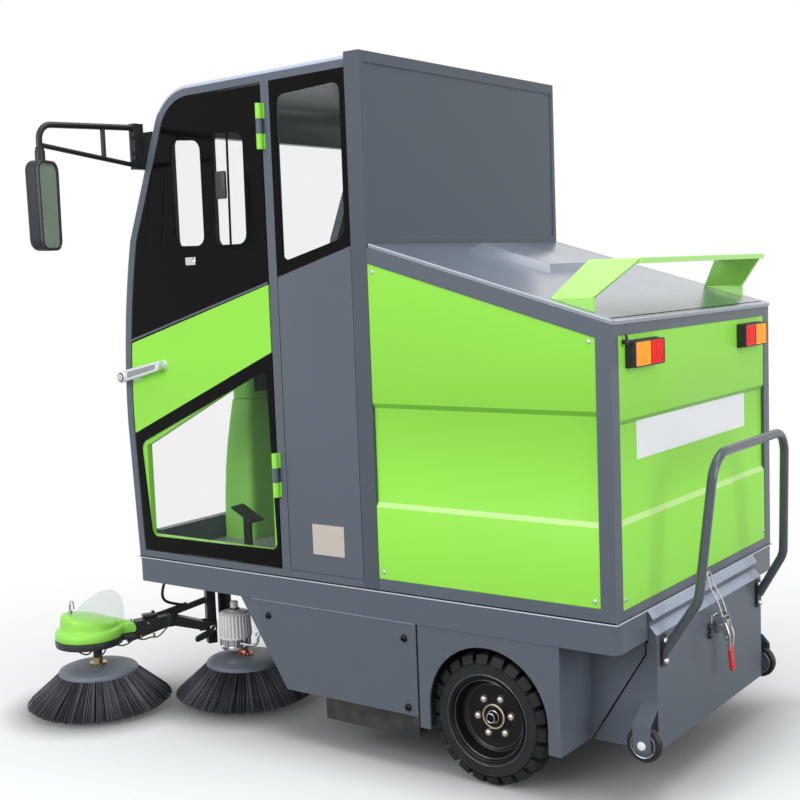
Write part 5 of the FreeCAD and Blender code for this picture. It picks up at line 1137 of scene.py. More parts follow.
def make_arm_fittings(side, label):
    """The clear guard and its clip, the drive under the cover, wires, nuts and the lift rod."""
    bm = bmesh.new()
    slab(bm, "y", -0.001, 0.001, [(ARM_SPAN + x, z) for x, z in SHIELD], 0.006, 3)
    add_arm_piece("clear_guard", bm, side, label, "clear_glass", CLEAR_SHEET)
    bm = bmesh.new()
    out = ARM_SPAN + 0.086
    bar(bm, (out, 0.004, 0.335), (out, 0.004, 0.372), 0.0042, 14)
    bar(bm, (out, 0.004, 0.34), (out, 0.004, 0.35), 0.0085, 6)
    rod(bm, [(out, 0.004, 0.352), (out, 0.004, 0.378), (out - 0.006, 0.004, 0.386),
             (out - 0.013, 0.004, 0.38), (out - 0.013, 0.004, 0.352)], 0.0026)
    bar(bm, (ARM_SPAN - 0.122, 0.0, 0.28), (ARM_SPAN - 0.122, 0.0, 0.2905), 0.005, 6)
    ring(bm, (0.0, 0.0262, 0.222), BACKWARD, 0.009, 0.003, 32, 10)
    add_arm_piece("arm_clips", bm, side, label, "chrome_silver", CHROME)
    bm = bmesh.new()
    turned(bm, [(0.0, 0.1506), (0.029, 0.1506), (0.029, 0.154), (0.02, 0.156), (0.0, 0.156)],
           (ARM_SPAN, 0, 0), steps=40)
    bar(bm, (ARM_SPAN, 0, 0.157), (ARM_SPAN, 0, 0.169), 0.0175, 6)
    bar(bm, (ARM_SPAN, 0, 0.171), (ARM_SPAN, 0, 0.174), 0.021, 24)
    for inward, back, height in ((0.06, 0.022, 0.216), (0.15, 0.026, 0.222),
                                 (0.196, 0.026, 0.222), (-0.052, 0.05, 0.221),
                                 (0.012, 0.055, 0.221)):
        spot = Vector((ARM_SPAN - inward, back, height))
        bar(bm, spot, spot + Vector((0.0, 0.0, 0.012)), 0.0046, 8)
    for along, height in ((0.158, 0.286), (0.232, 0.272)):
        turned(bm, [(0.0, 0.004), (0.003, 0.0035), (0.0045, 0.0)], (along, 0.0232, height),
               BACKWARD, 14)
    add_arm_piece("arm_brass", bm, side, label, "steel", BRASS_METAL)
    bm = bmesh.new()
    turned(bm, [(0.0, 0.2265), (0.042, 0.2265), (0.042, 0.215), (0.034, 0.21), (0.026, 0.2),
                (0.0155, 0.196), (0.0155, 0.176), (0.0, 0.176)], (ARM_SPAN, 0, 0), steps=40)
    for wire in COVER_WIRES:
        rod(bm, [(ARM_SPAN - x, y, z) for x, y, z in wire], 0.0027)
    rod(bm, [(0.08, -0.0265, 0.3125), (0.11, -0.0265, 0.3065), (0.16, -0.0265, 0.295),
             (0.205, -0.024, 0.2865)], 0.005)
    add_arm_piece("arm_wires", bm, side, label, "black_paint", MOULDED)
    bm = bmesh.new()
    block(bm, (0.196, -0.0255, 0.286), (0.246, 0.012, 0.2985), 0.003)
    bar(bm, (0.205, -0.02, 0.296), (0.205, -0.02, 0.304), 0.006, 6)
    block(bm, (0.138, 0.0215, 0.248), (0.168, 0.027, 0.292), 0.0025)
    add_arm_piece("arm_clamp", bm, side, label, "black_paint", BLACK_PAINT)
    bm = bmesh.new()
    slab(bm, "y", 0.018, 0.03, [(0.066, 0.176), (0.068, 0.197), (0.004, 0.221),
                                (-0.004, 0.198)], 0.0098)
    moved(bm, ARM_FRAME)
    add_piece("post_lever_" + label, bm, "chassis", "black_paint", BLACK_PAINT, side=side,
              bevel=0.0015)
    bm = bmesh.new()
    rod(bm, [(0.448, -0.766, 0.4505), (0.453, -0.79, 0.4), (0.432, -0.817, 0.35),
             (0.388, -0.827, 0.322), (0.342, -0.811, 0.309)], 0.0052)
    lift = add_piece("lift_sleeve_" + label, bm, None, "black_plastic", MOULDED, side=side)
    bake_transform(lift)


def make_broom():
    """The roller broom: a core with straight rows of bristle tufts."""
    chance = random.Random(11)
    low, high = (Vector(corner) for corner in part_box("main_broom"))
    centre = middle_of("main_broom")
    first = -BROOM_HALF + 0.008
    pitch = (2 * BROOM_HALF - 0.016) / (BROOM_TUFTS - 1)
    bm = bmesh.new()
    streak = bm.verts.layers.float.new("streak")
    for row in range(BROOM_ROWS):
        for tuft in range(BROOM_TUFTS):
            for _ in range(3):
                along = first + tuft * pitch + chance.uniform(-0.003, 0.003)
                turn = (math.tau * row / BROOM_ROWS + math.radians(90)
                        + chance.uniform(-0.045, 0.045))
                shade = chance.random() ** 2
                out = Vector((0.0, math.cos(turn), math.sin(turn)))
                start = centre + Vector((along, 0, 0)) + out * 0.056
                end = centre + Vector((along, 0, 0)) + out * chance.uniform(0.138, 0.1465)
                for vert in bar(bm, start, end, 0.0026, 3, 0.0018):
                    vert[streak] = shade
    add_piece("broom_bristles", bm, "main_broom", "broom_bristle", BRISTLE,
              over=["main_broom"], sharp=170)
    bm = bmesh.new()
    turned(bm, [(0.0, low.x), (0.0148, low.x), (0.0148, -BROOM_HALF), (0.06, -BROOM_HALF),
                (0.06, BROOM_HALF), (0.0148, BROOM_HALF), (0.0148, high.x), (0.0, high.x)],
           (0, centre.y, centre.z), AXLE, 40)
    add_piece("broom_core", bm, "main_broom", "black_paint", BLACK_PAINT)


# Hopper fittings

# Outlines of the latch, as places out from the hopper's face and heights
LATCH_CHEEK = [(0.003, 0.378), (0.003, 0.432), (0.03, 0.436), (0.042, 0.424),
               (0.04, 0.396), (0.024, 0.384)]
LATCH_LEVER = [(0.02, 0.446), (0.044, 0.44), (0.052, 0.406), (0.054, 0.366),
               (0.042, 0.36), (0.03, 0.4)]


def make_hopper_latch():
    """The toggle latch: its cheeks, rollers and bail, red sleeve, knobs and keeper."""
    face = HOPPER_FACE
    bm = bmesh.new()
    block(bm, (-0.022, face, 0.372), (0.022, face + 0.004, 0.436), 0.0015)
    for sides, outline, radius in (((0.0135, -0.0155), LATCH_CHEEK, 0.006),
                                   ((0.0105, -0.0125), LATCH_LEVER, 0.007)):
        for side in sides:
            slab(bm, "x", side, side + 0.002, [(face + out, z) for out, z in outline], radius)
    block(bm, (-0.012, face + 0.044, 0.37), (0.012, face + 0.047, 0.425), 0.001)
    for out, z in ((0.03, 0.408), (0.036, 0.432), (0.044, 0.372)):
        bar(bm, (-0.019, face + out, z), (0.019, face + out, z), 0.004, 14)
    for half in (0.0125, -0.0125):
        rod(bm, [(half, face + 0.042, 0.416), (half * 1.3, face + 0.052, 0.396),
                 (half * 1.1, face + 0.058, 0.37), (half * 0.7, face + 0.052, 0.335)], 0.0036)
    bail = [(0.0165, 0.036, 0.432), (0.0165, 0.028, 0.47), (0.015, -0.004, 0.52),
            (0.013, -0.0115, 0.553), (0.006, -0.0125, 0.5605)]
    rod(bm, [(x, face + out, z) for x, out, z in bail]
        + [(-x, face + out, z) for x, out, z in reversed(bail)], 0.0026)
    for x, z in ((-0.015, 0.38), (0.015, 0.38), (0.0, 0.429)):
        screw(bm, (x, face + 0.004, z), BACKWARD, 0.0045, 0.003)
    add_piece("latch_clamp", bm, "hopper", "steel", ZINC_STEEL, over=["hopper_latch"])
    bm = bmesh.new()
    block(bm, (-0.0115, -0.005, -0.04), (0.0115, 0.005, 0.04), 0.0042, 3)
    for vert in bm.verts:
        vert.co.x *= 1.0 - 1.4 * vert.co.z
    moved(bm, Matrix.Translation((0, face + 0.055, 0.314)) @ Matrix.Rotation(0.1, 4, "X"))
    add_piece("latch_sleeve", bm, "hopper", "lamp_lens", RED_GRIP)
    bm = bmesh.new()
    for z in (0.404, 0.38):
        turned(bm, [(0.0, 0.012), (0.007, 0.011), (0.0105, 0.007), (0.0105, 0.0),
                    (0.008, -0.002)], (0.034, face + 0.001, z), BACKWARD, 24)
    add_piece("latch_knobs", bm, "hopper", "black_plastic", MOULDED)
    bm = bmesh.new()
    border(bm, "y", 1.0322, 1.0382, rectangle(-0.016, 0.528, 0.016, 0.58), 0.014, 0.007)
    block(bm, (-0.013, 1.032, 0.532), (0.013, 1.035, 0.56), 0.001)
    add_piece("latch_keeper", bm, "chassis", "black_plastic", BLACK_PAINT, bevel=0.001)


def make_handle_bolts():
    """The push handle's two flanges and their bolts."""
    bm = bmesh.new()
    plates = bmesh.new()
    for x in (0.35, -0.35):
        slab(plates, "y", HOPPER_FACE - 0.0005, HOPPER_FACE + 0.0092,
             rectangle(x - 0.0165, 0.3755, x + 0.0165, 0.4605), 0.014)
        for z in (0.3895, 0.4465):
            turned(bm, [(0.0, 0.008), (0.005, 0.0076), (0.0085, 0.005), (0.0095, 0.0)],
                   (x, HOPPER_FACE + 0.0092, z), BACKWARD, 20)
    add_piece("handle_flanges", plates, "hopper", "slate_paint", BLACK_PAINT, bevel=0.001)
    add_piece("handle_bolts", bm, "hopper", "chrome_silver", CHROME)


# Rear body and cab fittings

# The rear lamps: their back plane, their reach across, their levels and a lens's ribs
LAMP_BACK = 1.0301
LAMP_REACH = (0.292, 0.474)
LAMP_LEVELS = (1.201, 1.275)
LENS_RIBS = 6
# The top of a door's lime band, and the dark line along it as (Y, Z)
BAND_TOP = 1.46
BAND_TRIM = [(-0.768, 1.27), (-0.13, 1.452), (-0.13, 1.459), (-0.769, 1.277)]
# A mirror's place in plan
MIRROR_SPOT = (0.973, -0.655)


def make_lamps():
    """Two rear lamps, each with a red and an amber ribbed lens in a black case, and a knob."""
    back = LAMP_BACK
    inner, outer = LAMP_REACH
    low, high = LAMP_LEVELS
    bases = bmesh.new()
    amber = bmesh.new()
    red = bmesh.new()
    for side in (1, -1):
        whole, neck, mouth = (
            rectangle(side * (inner + inset), low + inset, side * (outer - inset), high - inset)
            for inset in (0.0, 0.003, 0.002))
        slab(bases, "y", back, back + 0.012, whole, 0.006)
        slab(bases, "y", back + 0.01, back + 0.0262, neck, 0.006)
        border(bases, "y", back + 0.02, back + 0.0305, mouth, 0.007, 0.0034)
        block(bases, (side * 0.3765, back + 0.02, 1.206), (side * 0.3795, back + 0.0302, 1.27))
        for lens, start, end in ((red, inner + 0.0055, 0.377), (amber, 0.379, outer - 0.0055)):
            slab(lens, "y", back + 0.014, back + 0.0292,
                 rectangle(side * start, 1.2065, side * end, 1.2695), 0.005)
            for rib in range(LENS_RIBS):
                x = start + 0.006 + (end - start - 0.012) * rib / (LENS_RIBS - 1)
                block(lens, (side * (x - 0.0012), back + 0.028, 1.211),
                      (side * (x + 0.0012), back + 0.03, 1.265), 0.0006)
    add_piece("lamp_amber", amber, "chassis", "lamp_lens", AMBER_LENS, bevel=0.0012)
    add_piece("lamp_red", red, "chassis", "lamp_lens", RED_LENS, bevel=0.0012)
    add_piece("lamp_bases", bases, "chassis", "black_plastic", MOULDED, over=["rear_lamps"],
              bevel=0.0012)
    bm = bmesh.new()
    turned(bm, [(0.0, 0.018), (0.006, 0.0175), (0.0095, 0.014), (0.0095, 0.009),
                (0.006, 0.007), (0.006, -0.001)], (0.487, 1.0305, 1.272), BACKWARD, 24)
    rod(bm, [(0.487, 1.04, 1.272), (0.488, 1.044, 1.284), (0.488, 1.04, 1.292)], 0.004)
    add_piece("lamp_knob", bm, "chassis", "black_plastic", MOULDED)


def make_plates():
    """The blank plate on the rear panel and the beige one on the left side."""
    bm = bmesh.new()
    slab(bm, "y", 1.0208, 1.0222, rectangle(-0.367, 0.95, 0.399, 1.056))
    add_piece("rear_plate", bm, "chassis", "chrome_silver", WHITE_PLATE, bevel=0.0004)
    bm = bmesh.new()
    slab(bm, "x", SIDE - 0.0005, SIDE + 0.0016, rectangle(0.007, 0.622, 0.13, 0.716), 0.001, 2)
    add_piece("beige_plate", bm, "chassis", "chrome_silver", BEIGE_MESH, bevel=0.0004)


def make_screws():
    """Bright screws in the lime panels and dark bolts in the skirts."""
    bright = bmesh.new()
    dark = bmesh.new()
    for side in (1, -1):
        outward = (side, 0, 0)
        for y, z in ((0.272, 1.477), (0.968, 1.278), (0.274, 0.593), (0.97, 0.59)):
            screw(bright, (side * (SIDE - 0.002), y, z), outward, 0.0068, 0.0034)
        for y, z in ((-0.193, 0.402), (0.34, 0.403), (0.347, 0.195)):
            turned(dark, [(0.0, 0.0035), (0.0035, 0.004), (0.0042, 0.0085), (0.0085, 0.007),
                          (0.011, 0.003), (0.0118, -0.0005)], (side * SIDE, y, z), outward, 24)
    for x in (0.499, -0.499):
        screw(bright, (x, 1.0298, 0.588), BACKWARD, 0.0068, 0.0034)
    add_piece("panel_screws", bright, "chassis", "chrome_silver", ZINC_STEEL)
    add_piece("skirt_bolts", dark, "chassis", "black_plastic", RIM_PAINT)


def make_door(side, label):
    """The door's own shape: lime band and lower frame, dark upper frame, slate knuckles."""
    node = "door_" + label
    bm = node_shape(node)
    bmesh.ops.bisect_plane(bm, geom=bm.verts[:] + bm.edges[:] + bm.faces[:], dist=0.00001,
                           plane_co=(0, 0, BAND_TOP), plane_no=UPRIGHT)
    for face in bm.faces:
        centre = face.calc_center_median()
        reach = abs(centre.x)
        if reach > SIDE + 0.0005:
            face.material_index = 1
        elif reach < PANE_BACK_FACE + 0.001 and centre.z > BAND_TOP:
            face.material_index = 2
    add_piece(node + "_finished", bm, node, "lime_paint", LIME_PAINT, SLATE_PAINT,
              BLACK_PAINT, over=[node], bevel=0.001)
    bm = bmesh.new()
    slab(bm, "x", SIDE - 0.0016, SIDE + 0.0016, BAND_TRIM)
    add_piece("band_trim_" + label, bm, node, "slate_paint", SLATE_PAINT, side=side,
              bevel=0.0006)


def make_door_handle(side, label):
    """A flat silver bar on two feet, with its grey inset, lock barrel and key slot."""
    node = "door_handle_" + label
    body = "door_" + label
    bm = bmesh.new()
    slab(bm, "x", 0.573, 0.593, [(-0.8, 1.133), (-0.6, 1.181), (-0.592, 1.214),
                                 (-0.79, 1.174)], 0.0125)
    for y, z in ((-0.735, 1.155), (-0.606, 1.197)):
        turned(bm, [(0.017, 0.0), (0.0165, 0.004), (0.012, 0.008), (0.012, 0.018),
                    (0.0, 0.018)], (SIDE, y, z), AXLE, 28)
    add_piece("handle_bar_" + label, bm, body, "chrome_silver", HANDLE_SILVER, side=side,
              over=[node], bevel=0.0045)
    bm = bmesh.new()
    slab(bm, "x", 0.5925, 0.5938, [(-0.752, 1.1525), (-0.618, 1.185), (-0.613, 1.201),
                                   (-0.749, 1.1735)], 0.005)
    add_piece("handle_inset_" + label, bm, body, "steel", INSET_GREY, side=side)
    bm = bmesh.new()
    turned(bm, [(0.0, 0.0085), (0.0105, 0.0085), (0.0112, 0.006), (0.015, 0.0056),
                (0.019, 0.004), (0.0205, 0.0)], (0.5922, -0.778, 1.1555), AXLE, 36)
    add_piece("handle_lock_" + label, bm, body, "chrome_silver", HANDLE_SILVER, side=side)
    bm = bmesh.new()
    ring(bm, (0.5975, -0.778, 1.1555), AXLE, 0.0125, 0.0024, 32, 8)
    block(bm, (0.5995, -0.7792, 1.1495), (0.6012, -0.7768, 1.1615), 0.0004)
    add_piece("handle_slot_" + label, bm, body, "black_plastic", BLACK_PAINT, side=side)


def make_mirror(side, label):
    """A mirror's grey shell, black rim and glass, drawn upright and then turned in a little."""
    across, back = MIRROR_SPOT
    turn = Matrix.Translation((across, back, 0.0)) @ Matrix.Rotation(math.radians(22.0), 4, "Z")
    low, high, half = 1.578, 1.849, 0.062
    outline = [(-half + 0.004, low), (half - 0.004, low), (half, high), (-half, high)]
    bm = bmesh.new()
    slab(bm, "y", -0.026, 0.018, outline, 0.034, 8)
    rear = [edge for edge in bm.edges if all(vert.co.y < -0.0255 for vert in edge.verts)]
    bmesh.ops.bevel(bm, geom=rear, offset=0.018, segments=5, profile=0.5, affect="EDGES",
                    material=-1)
    moved(bm, turn)
    add_piece("mirror_shell_" + label, bm, "chassis", "black_plastic", MIRROR_SHELL,
              side=side, over=["mirror_heads"] if side > 0 else (), sharp=40)
    bm = bmesh.new()
    border(bm, "y", 0.012, 0.0262, outline, 0.034, 0.0085, 8)
    moved(bm, turn)
    add_piece("mirror_rim_" + label, bm, "chassis", "black_plastic", MOULDED, side=side,
              bevel=0.0015)
    bm = bmesh.new()
    foot, top = low + 0.0075, high - 0.0075
    slab(bm, "y", 0.0178, 0.0205, [(-half + 0.0105, foot), (half - 0.0105, foot),
                                   (half - 0.0075, top), (-half + 0.0075, top)], 0.027, 8)
    moved(bm, turn)
    # The glass's greenish grey is a painted reflection
    add_piece("mirror_glass_" + label, bm, "chassis", "clear_glass", MIRROR_PAINTED_REFLECTION, side=side)
    bm = bmesh.new()
    bar(bm, (across, back, 1.845), (across, back, 1.88), 0.0155, 24)
    bar(bm, (across, back, 1.878), (across, back, 1.89), 0.0135, 6)
    for z in (1.866, 1.89, 1.94, 1.966):
        hex_bolt(bm, (0.6002, back, z), AXLE, 0.0068, 0.006)
    for z in (1.86, 1.95):
        bar(bm, (0.585, back, z - 0.014), (0.585, back, z + 0.014), 0.0135, 16)
    add_piece("mirror_fixings_" + label, bm, "chassis", "black_paint", BLACK_PAINT, side=side,
              bevel=0.0008)


# Inside the cab

LOZENGE_PITCH = 0.025
CONSOLE_FRONT = -0.742
# The seat's half width, and how far its sewn channels lie from the middle
SEAT_HALF = 0.212
SEAT_CHANNEL = 0.105
CLOTH_FRAMES = 20


def make_floor_plate():
    """Raised lozenges on the cab's floor plate, leaning by turns to either side."""
    bm = bmesh.new()
    slab(bm, "z", 0.5341, 0.535, rectangle(-0.505, -0.742, 0.505, 0.188))
    lozenge = bmesh.new()
    bmesh.ops.create_cone(lozenge, cap_ends=True, cap_tris=False, segments=6, radius1=0.0075,
                          radius2=0.0042, depth=0.0018,
                          matrix=Matrix.Translation((0, 0, 0.5357)))
    bmesh.ops.scale(lozenge, vec=(1.0, 0.42, 1.0), verts=lozenge.verts)
    places = []
    for row in range(37):
        for column in range(40):
            lean = math.radians(45 if (row + column) % 2 else -45)
            spot = (-0.488 + LOZENGE_PITCH * column, -0.728 + LOZENGE_PITCH * row, 0.0)
            places.append(Matrix.Translation(spot) @ Matrix.Rotation(lean, 4, "Z"))
    repeat(bm, lozenge, places)
    add_piece("floor_plate", bm, "chassis", "steel", TREAD_PLATE)


# The console's heights, each with its half width and its depth
CONSOLE_LEVELS = [(0.5352, 0.188, 0.15), (0.6, 0.187, 0.15), (0.69, 0.182, 0.148),
                  (0.78, 0.172, 0.14), (0.86, 0.158, 0.13), (0.95, 0.136, 0.114),
                  (1.034, 0.112, 0.1)]


def make_console():
    """The pedestal under the steering wheel, its sides swept in to a seam below the head."""
    front = CONSOLE_FRONT
    height, half, depth = CONSOLE_LEVELS[0]
    bm = bmesh.new()
    faces = flat_face(bm, "z", height, rectangle(-half, front, half, front + depth), 0.03, 5)
    for level, new_half, new_depth in CONSOLE_LEVELS[1:]:
        grown = bmesh.ops.extrude_face_region(bm, geom=faces)["geom"]
        faces = [item for item in grown if isinstance(item, bmesh.types.BMFace)]
        for vert in (item for item in grown if isinstance(item, bmesh.types.BMVert)):
            vert.co.x *= new_half / half
            vert.co.y = front + (vert.co.y - front) * new_depth / depth
            vert.co.z += level - height
        height, half, depth = level, new_half, new_depth
    add_piece("console_foot", bm, "chassis", "lime_paint", CONSOLE_LIME,
              over=["dash_console"], sharp=50)
    bm = bmesh.new()
    slab(bm, "z", 1.036, 1.18, rectangle(-0.11, front, 0.11, front + 0.1), 0.024, 5)
    slab(bm, "z", 1.03, 1.038, rectangle(-0.106, front + 0.004, 0.106, front + 0.096),
         0.022, 5)
    add_piece("console_head", bm, "chassis", "lime_paint", CONSOLE_LIME, bevel=0.004)
    bm = bmesh.new()
    block(bm, (-0.09, front + 0.0985, 1.06), (0.09, front + 0.101, 1.165), 0.001)
    for x in (-0.06, -0.02, 0.02, 0.06):
        turned(bm, [(0.0, 0.012), (0.009, 0.011), (0.012, 0.006), (0.013, 0.0)],
               (x, front + 0.1008, 1.085), BACKWARD, 20)
    border(bm, "y", front + 0.1005, front + 0.104, rectangle(-0.05, 1.106, 0.05, 1.158),
           0.008, 0.004)
    add_piece("console_panel", bm, "chassis", "black_plastic", MOULDED)


def make_steering():
    """The steering wheel, its three spokes, hub and column."""
    top = Vector((0, -0.43, 1.27))
    foot = Vector((0, -0.642, 1.034))
    way = (top - foot).normalized()
    bm = bmesh.new()
    ring(bm, top, way, 0.172, 0.013, 72, 14)
    for spoke in range(3):
        out = Matrix.Rotation(math.tau * spoke / 3, 4, way) @ way.orthogonal().normalized()
        bar(bm, top + out * 0.03, top + out * 0.165, 0.0095, 12, 0.0075)
    turned(bm, [(0.0, 0.018), (0.024, 0.017), (0.036, 0.01), (0.042, -0.004),
                (0.036, -0.018), (0.02, -0.022), (0.02, -0.06), (0.0, -0.06)], top, way, 40)
    bar(bm, foot + way * 0.006, top - way * 0.012, 0.0195, 28)
    add_piece("steering_wheel", bm, "chassis", "black_plastic", MOULDED,
              over=["steering_column"], sharp=45)


def swollen_by_cloth(holder, mesh, cap):
    """The mesh as a cover under pressure: no point moves further than the cap."""
    scene = bpy.context.scene
    cloth = holder.modifiers.new("cover", "CLOTH")
    cloth.settings.use_pressure = True
    cloth.settings.uniform_pressure_force = 4.0
    cloth.settings.effector_weights.gravity = 0.0
    cloth.point_cache.frame_start = 1
    cloth.point_cache.frame_end = CLOTH_FRAMES
    for moment in range(1, CLOTH_FRAMES + 1):
        scene.frame_set(moment)
    graph = bpy.context.evaluated_depsgraph_get()
    swollen = bpy.data.meshes.new_from_object(holder.evaluated_get(graph))
    for vert, before in zip(swollen.vertices, mesh.vertices):
        step = vert.co - before.co
        if step.length > cap:
            vert.co = before.co + step.normalized() * cap
    scene.frame_set(1)
    return swollen


def plumped(bm, voxel, cap):
    """A closed shape swollen like a cover over padding, by a cloth simulation."""
    mesh = bpy.data.meshes.new("pad")
    bm.to_mesh(mesh)
    bm.free()
    holder = bpy.data.objects.new("pad", mesh)
    bpy.context.scene.collection.objects.link(holder)
    voxels = holder.modifiers.new("voxels", "REMESH")
    voxels.mode = "VOXEL"
    voxels.voxel_size = voxel
    graph = bpy.context.evaluated_depsgraph_get()
    cover = bpy.data.meshes.new_from_object(holder.evaluated_get(graph))
    holder.modifiers.clear()
    holder.data = cover
    cover = swollen_by_cloth(holder, cover, cap)
    bpy.data.objects.remove(holder)
    bm = bmesh.new()
    bm.from_mesh(cover)
    bmesh.ops.smooth_vert(bm, verts=bm.verts, factor=0.5, use_axis_x=True, use_axis_y=True,
                          use_axis_z=True)
    return bm


def make_seat():
    """A seat cushion and a backrest, each a crowned pad with two sewn channels."""
    for name, low, high in (("seat_cushion", (-0.186, 0.858), (0.07, 0.938)),
                            ("seat_backrest", (0.098, 0.935), (0.168, 1.386))):
        lying = name == "seat_cushion"
        bm = bmesh.new()
        block(bm, (-SEAT_HALF, *low), (SEAT_HALF, *high), 0.028, 4)
        if not lying:
            for vert in bm.verts:
                if vert.co.y < 0.14:
                    vert.co.y += max(vert.co.z - 1.3, 0.0) * 0.35
        bm = plumped(bm, 0.006, 0.009)
        for vert in bm.verts:
            dip = 0.007 * math.exp(-((abs(vert.co.x) - SEAT_CHANNEL) / 0.006) ** 2)
            if lying and vert.co.z > 0.92:
                vert.co.z -= dip
            if not lying and vert.co.y < 0.12:
                vert.co.y += dip
        pad = add_piece(name, bm, "chassis", "seat_cover", SEAT_COVER, sharp=60,
                        over=["seat"] if lying else ())


# Studio

WHITE = (1.0, 1.0, 1.0, 1.0)
SKY_LIGHT = (0.93, 0.96, 1.0, 1.0)
FLOOR_BOUNCE = (0.45, 0.45, 0.45, 1.0)
# The place from which the floor fades to white, and the left brushes' places, round which a shadow
# is painted on the floor
FLOOR_MIDDLE = (1.6, 1.2, 0.0)
BRUSH_SHADOW_SPOTS = ((0.628, -0.947, 0.0), (0.29, -0.563, 0.0))
LAMP_AIM = Vector((0, 0, 0.9))
# The soft lamps: name, place, size and power
STUDIO_LAMPS = [("top", (0.4, 0.8, 5.2), 4.2, 125.0), ("left", (5.4, -0.8, 3.0), 3.4, 138.0),
                ("behind", (0.4, 6.4, 2.6), 3.4, 114.0)]


def floor_distance(tree, where):
    """How far a place on the floor lies outside the rectangle that the machine stands over, which
    sets the shadow painted under it.
    """
    split = place(tree, "ShaderNodeSeparateXYZ", {0: where})
    reaches = []
    for label, middle, half in (("X", 0.0, 0.52), ("Y", 0.13, 0.92)):
        off = reckon(tree, "SUBTRACT", split.outputs[label], middle)
        reaches.append(reckon(tree, "SUBTRACT", reckon(tree, "ABSOLUTE", off), half))
    return reckon(tree, "MAXIMUM", *reaches)


def painted_brush_shadow(tree, where, centre):
    """A shadow painted on the floor under a brush and under its mirror image."""
    split = place(tree, "ShaderNodeSeparateXYZ", {0: where})
    across = reckon(tree, "ABSOLUTE", split.outputs["X"])
    spot = place(tree, "ShaderNodeCombineXYZ", {"X": across, "Y": split.outputs["Y"]})
    gap = place(tree, "ShaderNodeVectorMath", {0: spot.outputs[0], 1: centre},
                operation="DISTANCE").outputs["Value"]
    return ease(tree, gap, 0.19, 0.39, 0.25, 1.0)


def seen_plainly(tree, path):
    """1 for what the camera, a reflection or a pane of glass looks at, and 0 for its light."""
    share = path.outputs["Is Camera Ray"]
    for ray in ("Is Glossy Ray", "Is Transmission Ray"):
        share = reckon(tree, "MAXIMUM", share, path.outputs[ray])
    return share


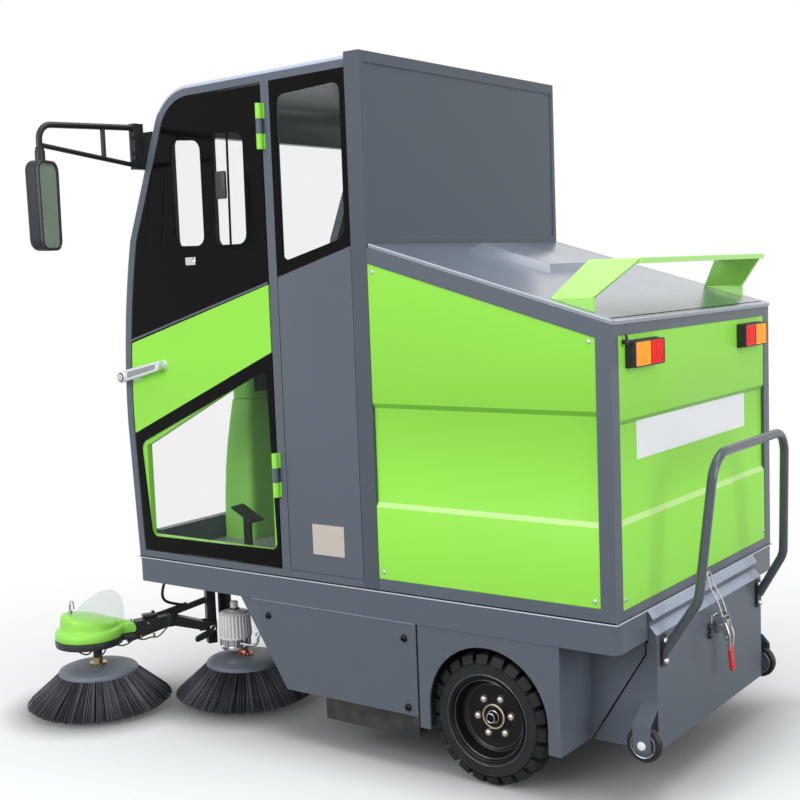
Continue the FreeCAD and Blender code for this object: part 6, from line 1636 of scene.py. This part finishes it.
def make_stage():
    """A pale floor that fades to white away from the machine, with shadow painted on it under the
    machine and round the brushes.
    """
    bm = bmesh.new()
    bmesh.ops.create_grid(bm, x_segments=1, y_segments=1, size=60.0)
    mesh = bpy.data.meshes.new("floor")
    bm.to_mesh(mesh)
    bm.free()
    floor = bpy.data.objects.new("floor", mesh)
    bpy.context.scene.collection.objects.link(floor)
    material = bpy.data.materials.new("studio floor")
    material.use_nodes = True
    tree = material.node_tree
    tree.nodes.clear()
    where = place(tree, "ShaderNodeTexCoord").outputs["Object"]
    away = place(tree, "ShaderNodeVectorMath", {0: where, 1: FLOOR_MIDDLE},
                 operation="DISTANCE").outputs["Value"]
    fade = ease(tree, away, 1.6, 4.6, 0.0, 1.0)
    path = place(tree, "ShaderNodeLightPath")
    # Painted shadow: the floor's colour darkens under the machine's footprint and round each side
    # brush
    under = ease(tree, floor_distance(tree, where), -0.16, 0.26, 0.45, 0.97)
    for centre in BRUSH_SHADOW_SPOTS:
        under = reckon(tree, "MULTIPLY", under, painted_brush_shadow(tree, where, centre))
    pale = place(tree, "ShaderNodeCombineColor", dict.fromkeys(("Red", "Green", "Blue"), under))
    shade = mix_colour(tree, path.outputs["Is Camera Ray"], FLOOR_BOUNCE, pale.outputs[0])
    matt = place(tree, "ShaderNodeBsdfDiffuse", {"Color": shade})
    white = place(tree, "ShaderNodeEmission", {"Color": WHITE, "Strength": 1.0})
    share = reckon(tree, "MULTIPLY", seen_plainly(tree, path), fade)
    mix = place(tree, "ShaderNodeMixShader", {0: share, 1: matt.outputs[0], 2: white.outputs[0]})
    place(tree, "ShaderNodeOutputMaterial", {"Surface": mix.outputs[0]})
    mesh.materials.append(material)


def make_light():
    """Even white surroundings with soft lamps above, at the left and behind."""
    world = bpy.data.worlds.new("studio")
    bpy.context.scene.world = world
    world.use_nodes = True
    tree = world.node_tree
    tree.nodes.clear()
    seen = seen_plainly(tree, place(tree, "ShaderNodeLightPath"))
    around = place(tree, "ShaderNodeBackground", {"Color": SKY_LIGHT, "Strength": 0.5})
    white = place(tree, "ShaderNodeBackground", {"Color": WHITE, "Strength": 1.0})
    mix = place(tree, "ShaderNodeMixShader", {0: seen, 1: around.outputs[0],
                                              2: white.outputs[0]})
    place(tree, "ShaderNodeOutputWorld", {"Surface": mix.outputs[0]})
    for name, spot, size, power in STUDIO_LAMPS:
        light = bpy.data.lights.new(name, "AREA")
        light.size = size
        light.energy = power
        lamp = bpy.data.objects.new(name, light)
        lamp.location = spot
        way = LAMP_AIM - Vector(spot)
        lamp.rotation_euler = way.to_track_quat("-Z", "Y").to_euler()
        bpy.context.scene.collection.objects.link(lamp)


def make_camera():
    """A camera at the photograph's place and angle."""
    data = bpy.data.cameras.new("camera")
    data.lens = CAMERA_LENS
    data.sensor_width = 36.0
    camera = bpy.data.objects.new("camera", data)
    back = CAMERA_RIGHT.cross(CAMERA_UP)
    turn = Matrix((CAMERA_RIGHT, CAMERA_UP, back)).transposed().to_4x4()
    camera.matrix_world = Matrix.Translation(CAMERA_AT) @ turn
    bpy.context.scene.collection.objects.link(camera)
    bpy.context.scene.camera = camera


dress_cad_nodes()
soften_panels()
for side, label in ((1, "left"), (-1, "right")):
    make_panes(side, label)
    make_door(side, label)
    make_door_handle(side, label)
    make_caster(side, label)
    make_motor(side, label)
    make_cover(side, label)
    make_arm_fittings(side, label)
    make_mirror(side, label)
make_seams()
make_wheels()
make_brushes()
make_broom()
make_hopper_latch()
make_handle_bolts()
make_lamps()
make_plates()
make_screws()
make_floor_plate()
make_console()
make_steering()
make_seat()
make_stage()
make_light()
make_camera()
bpy.context.scene.view_settings.view_transform = "Standard"
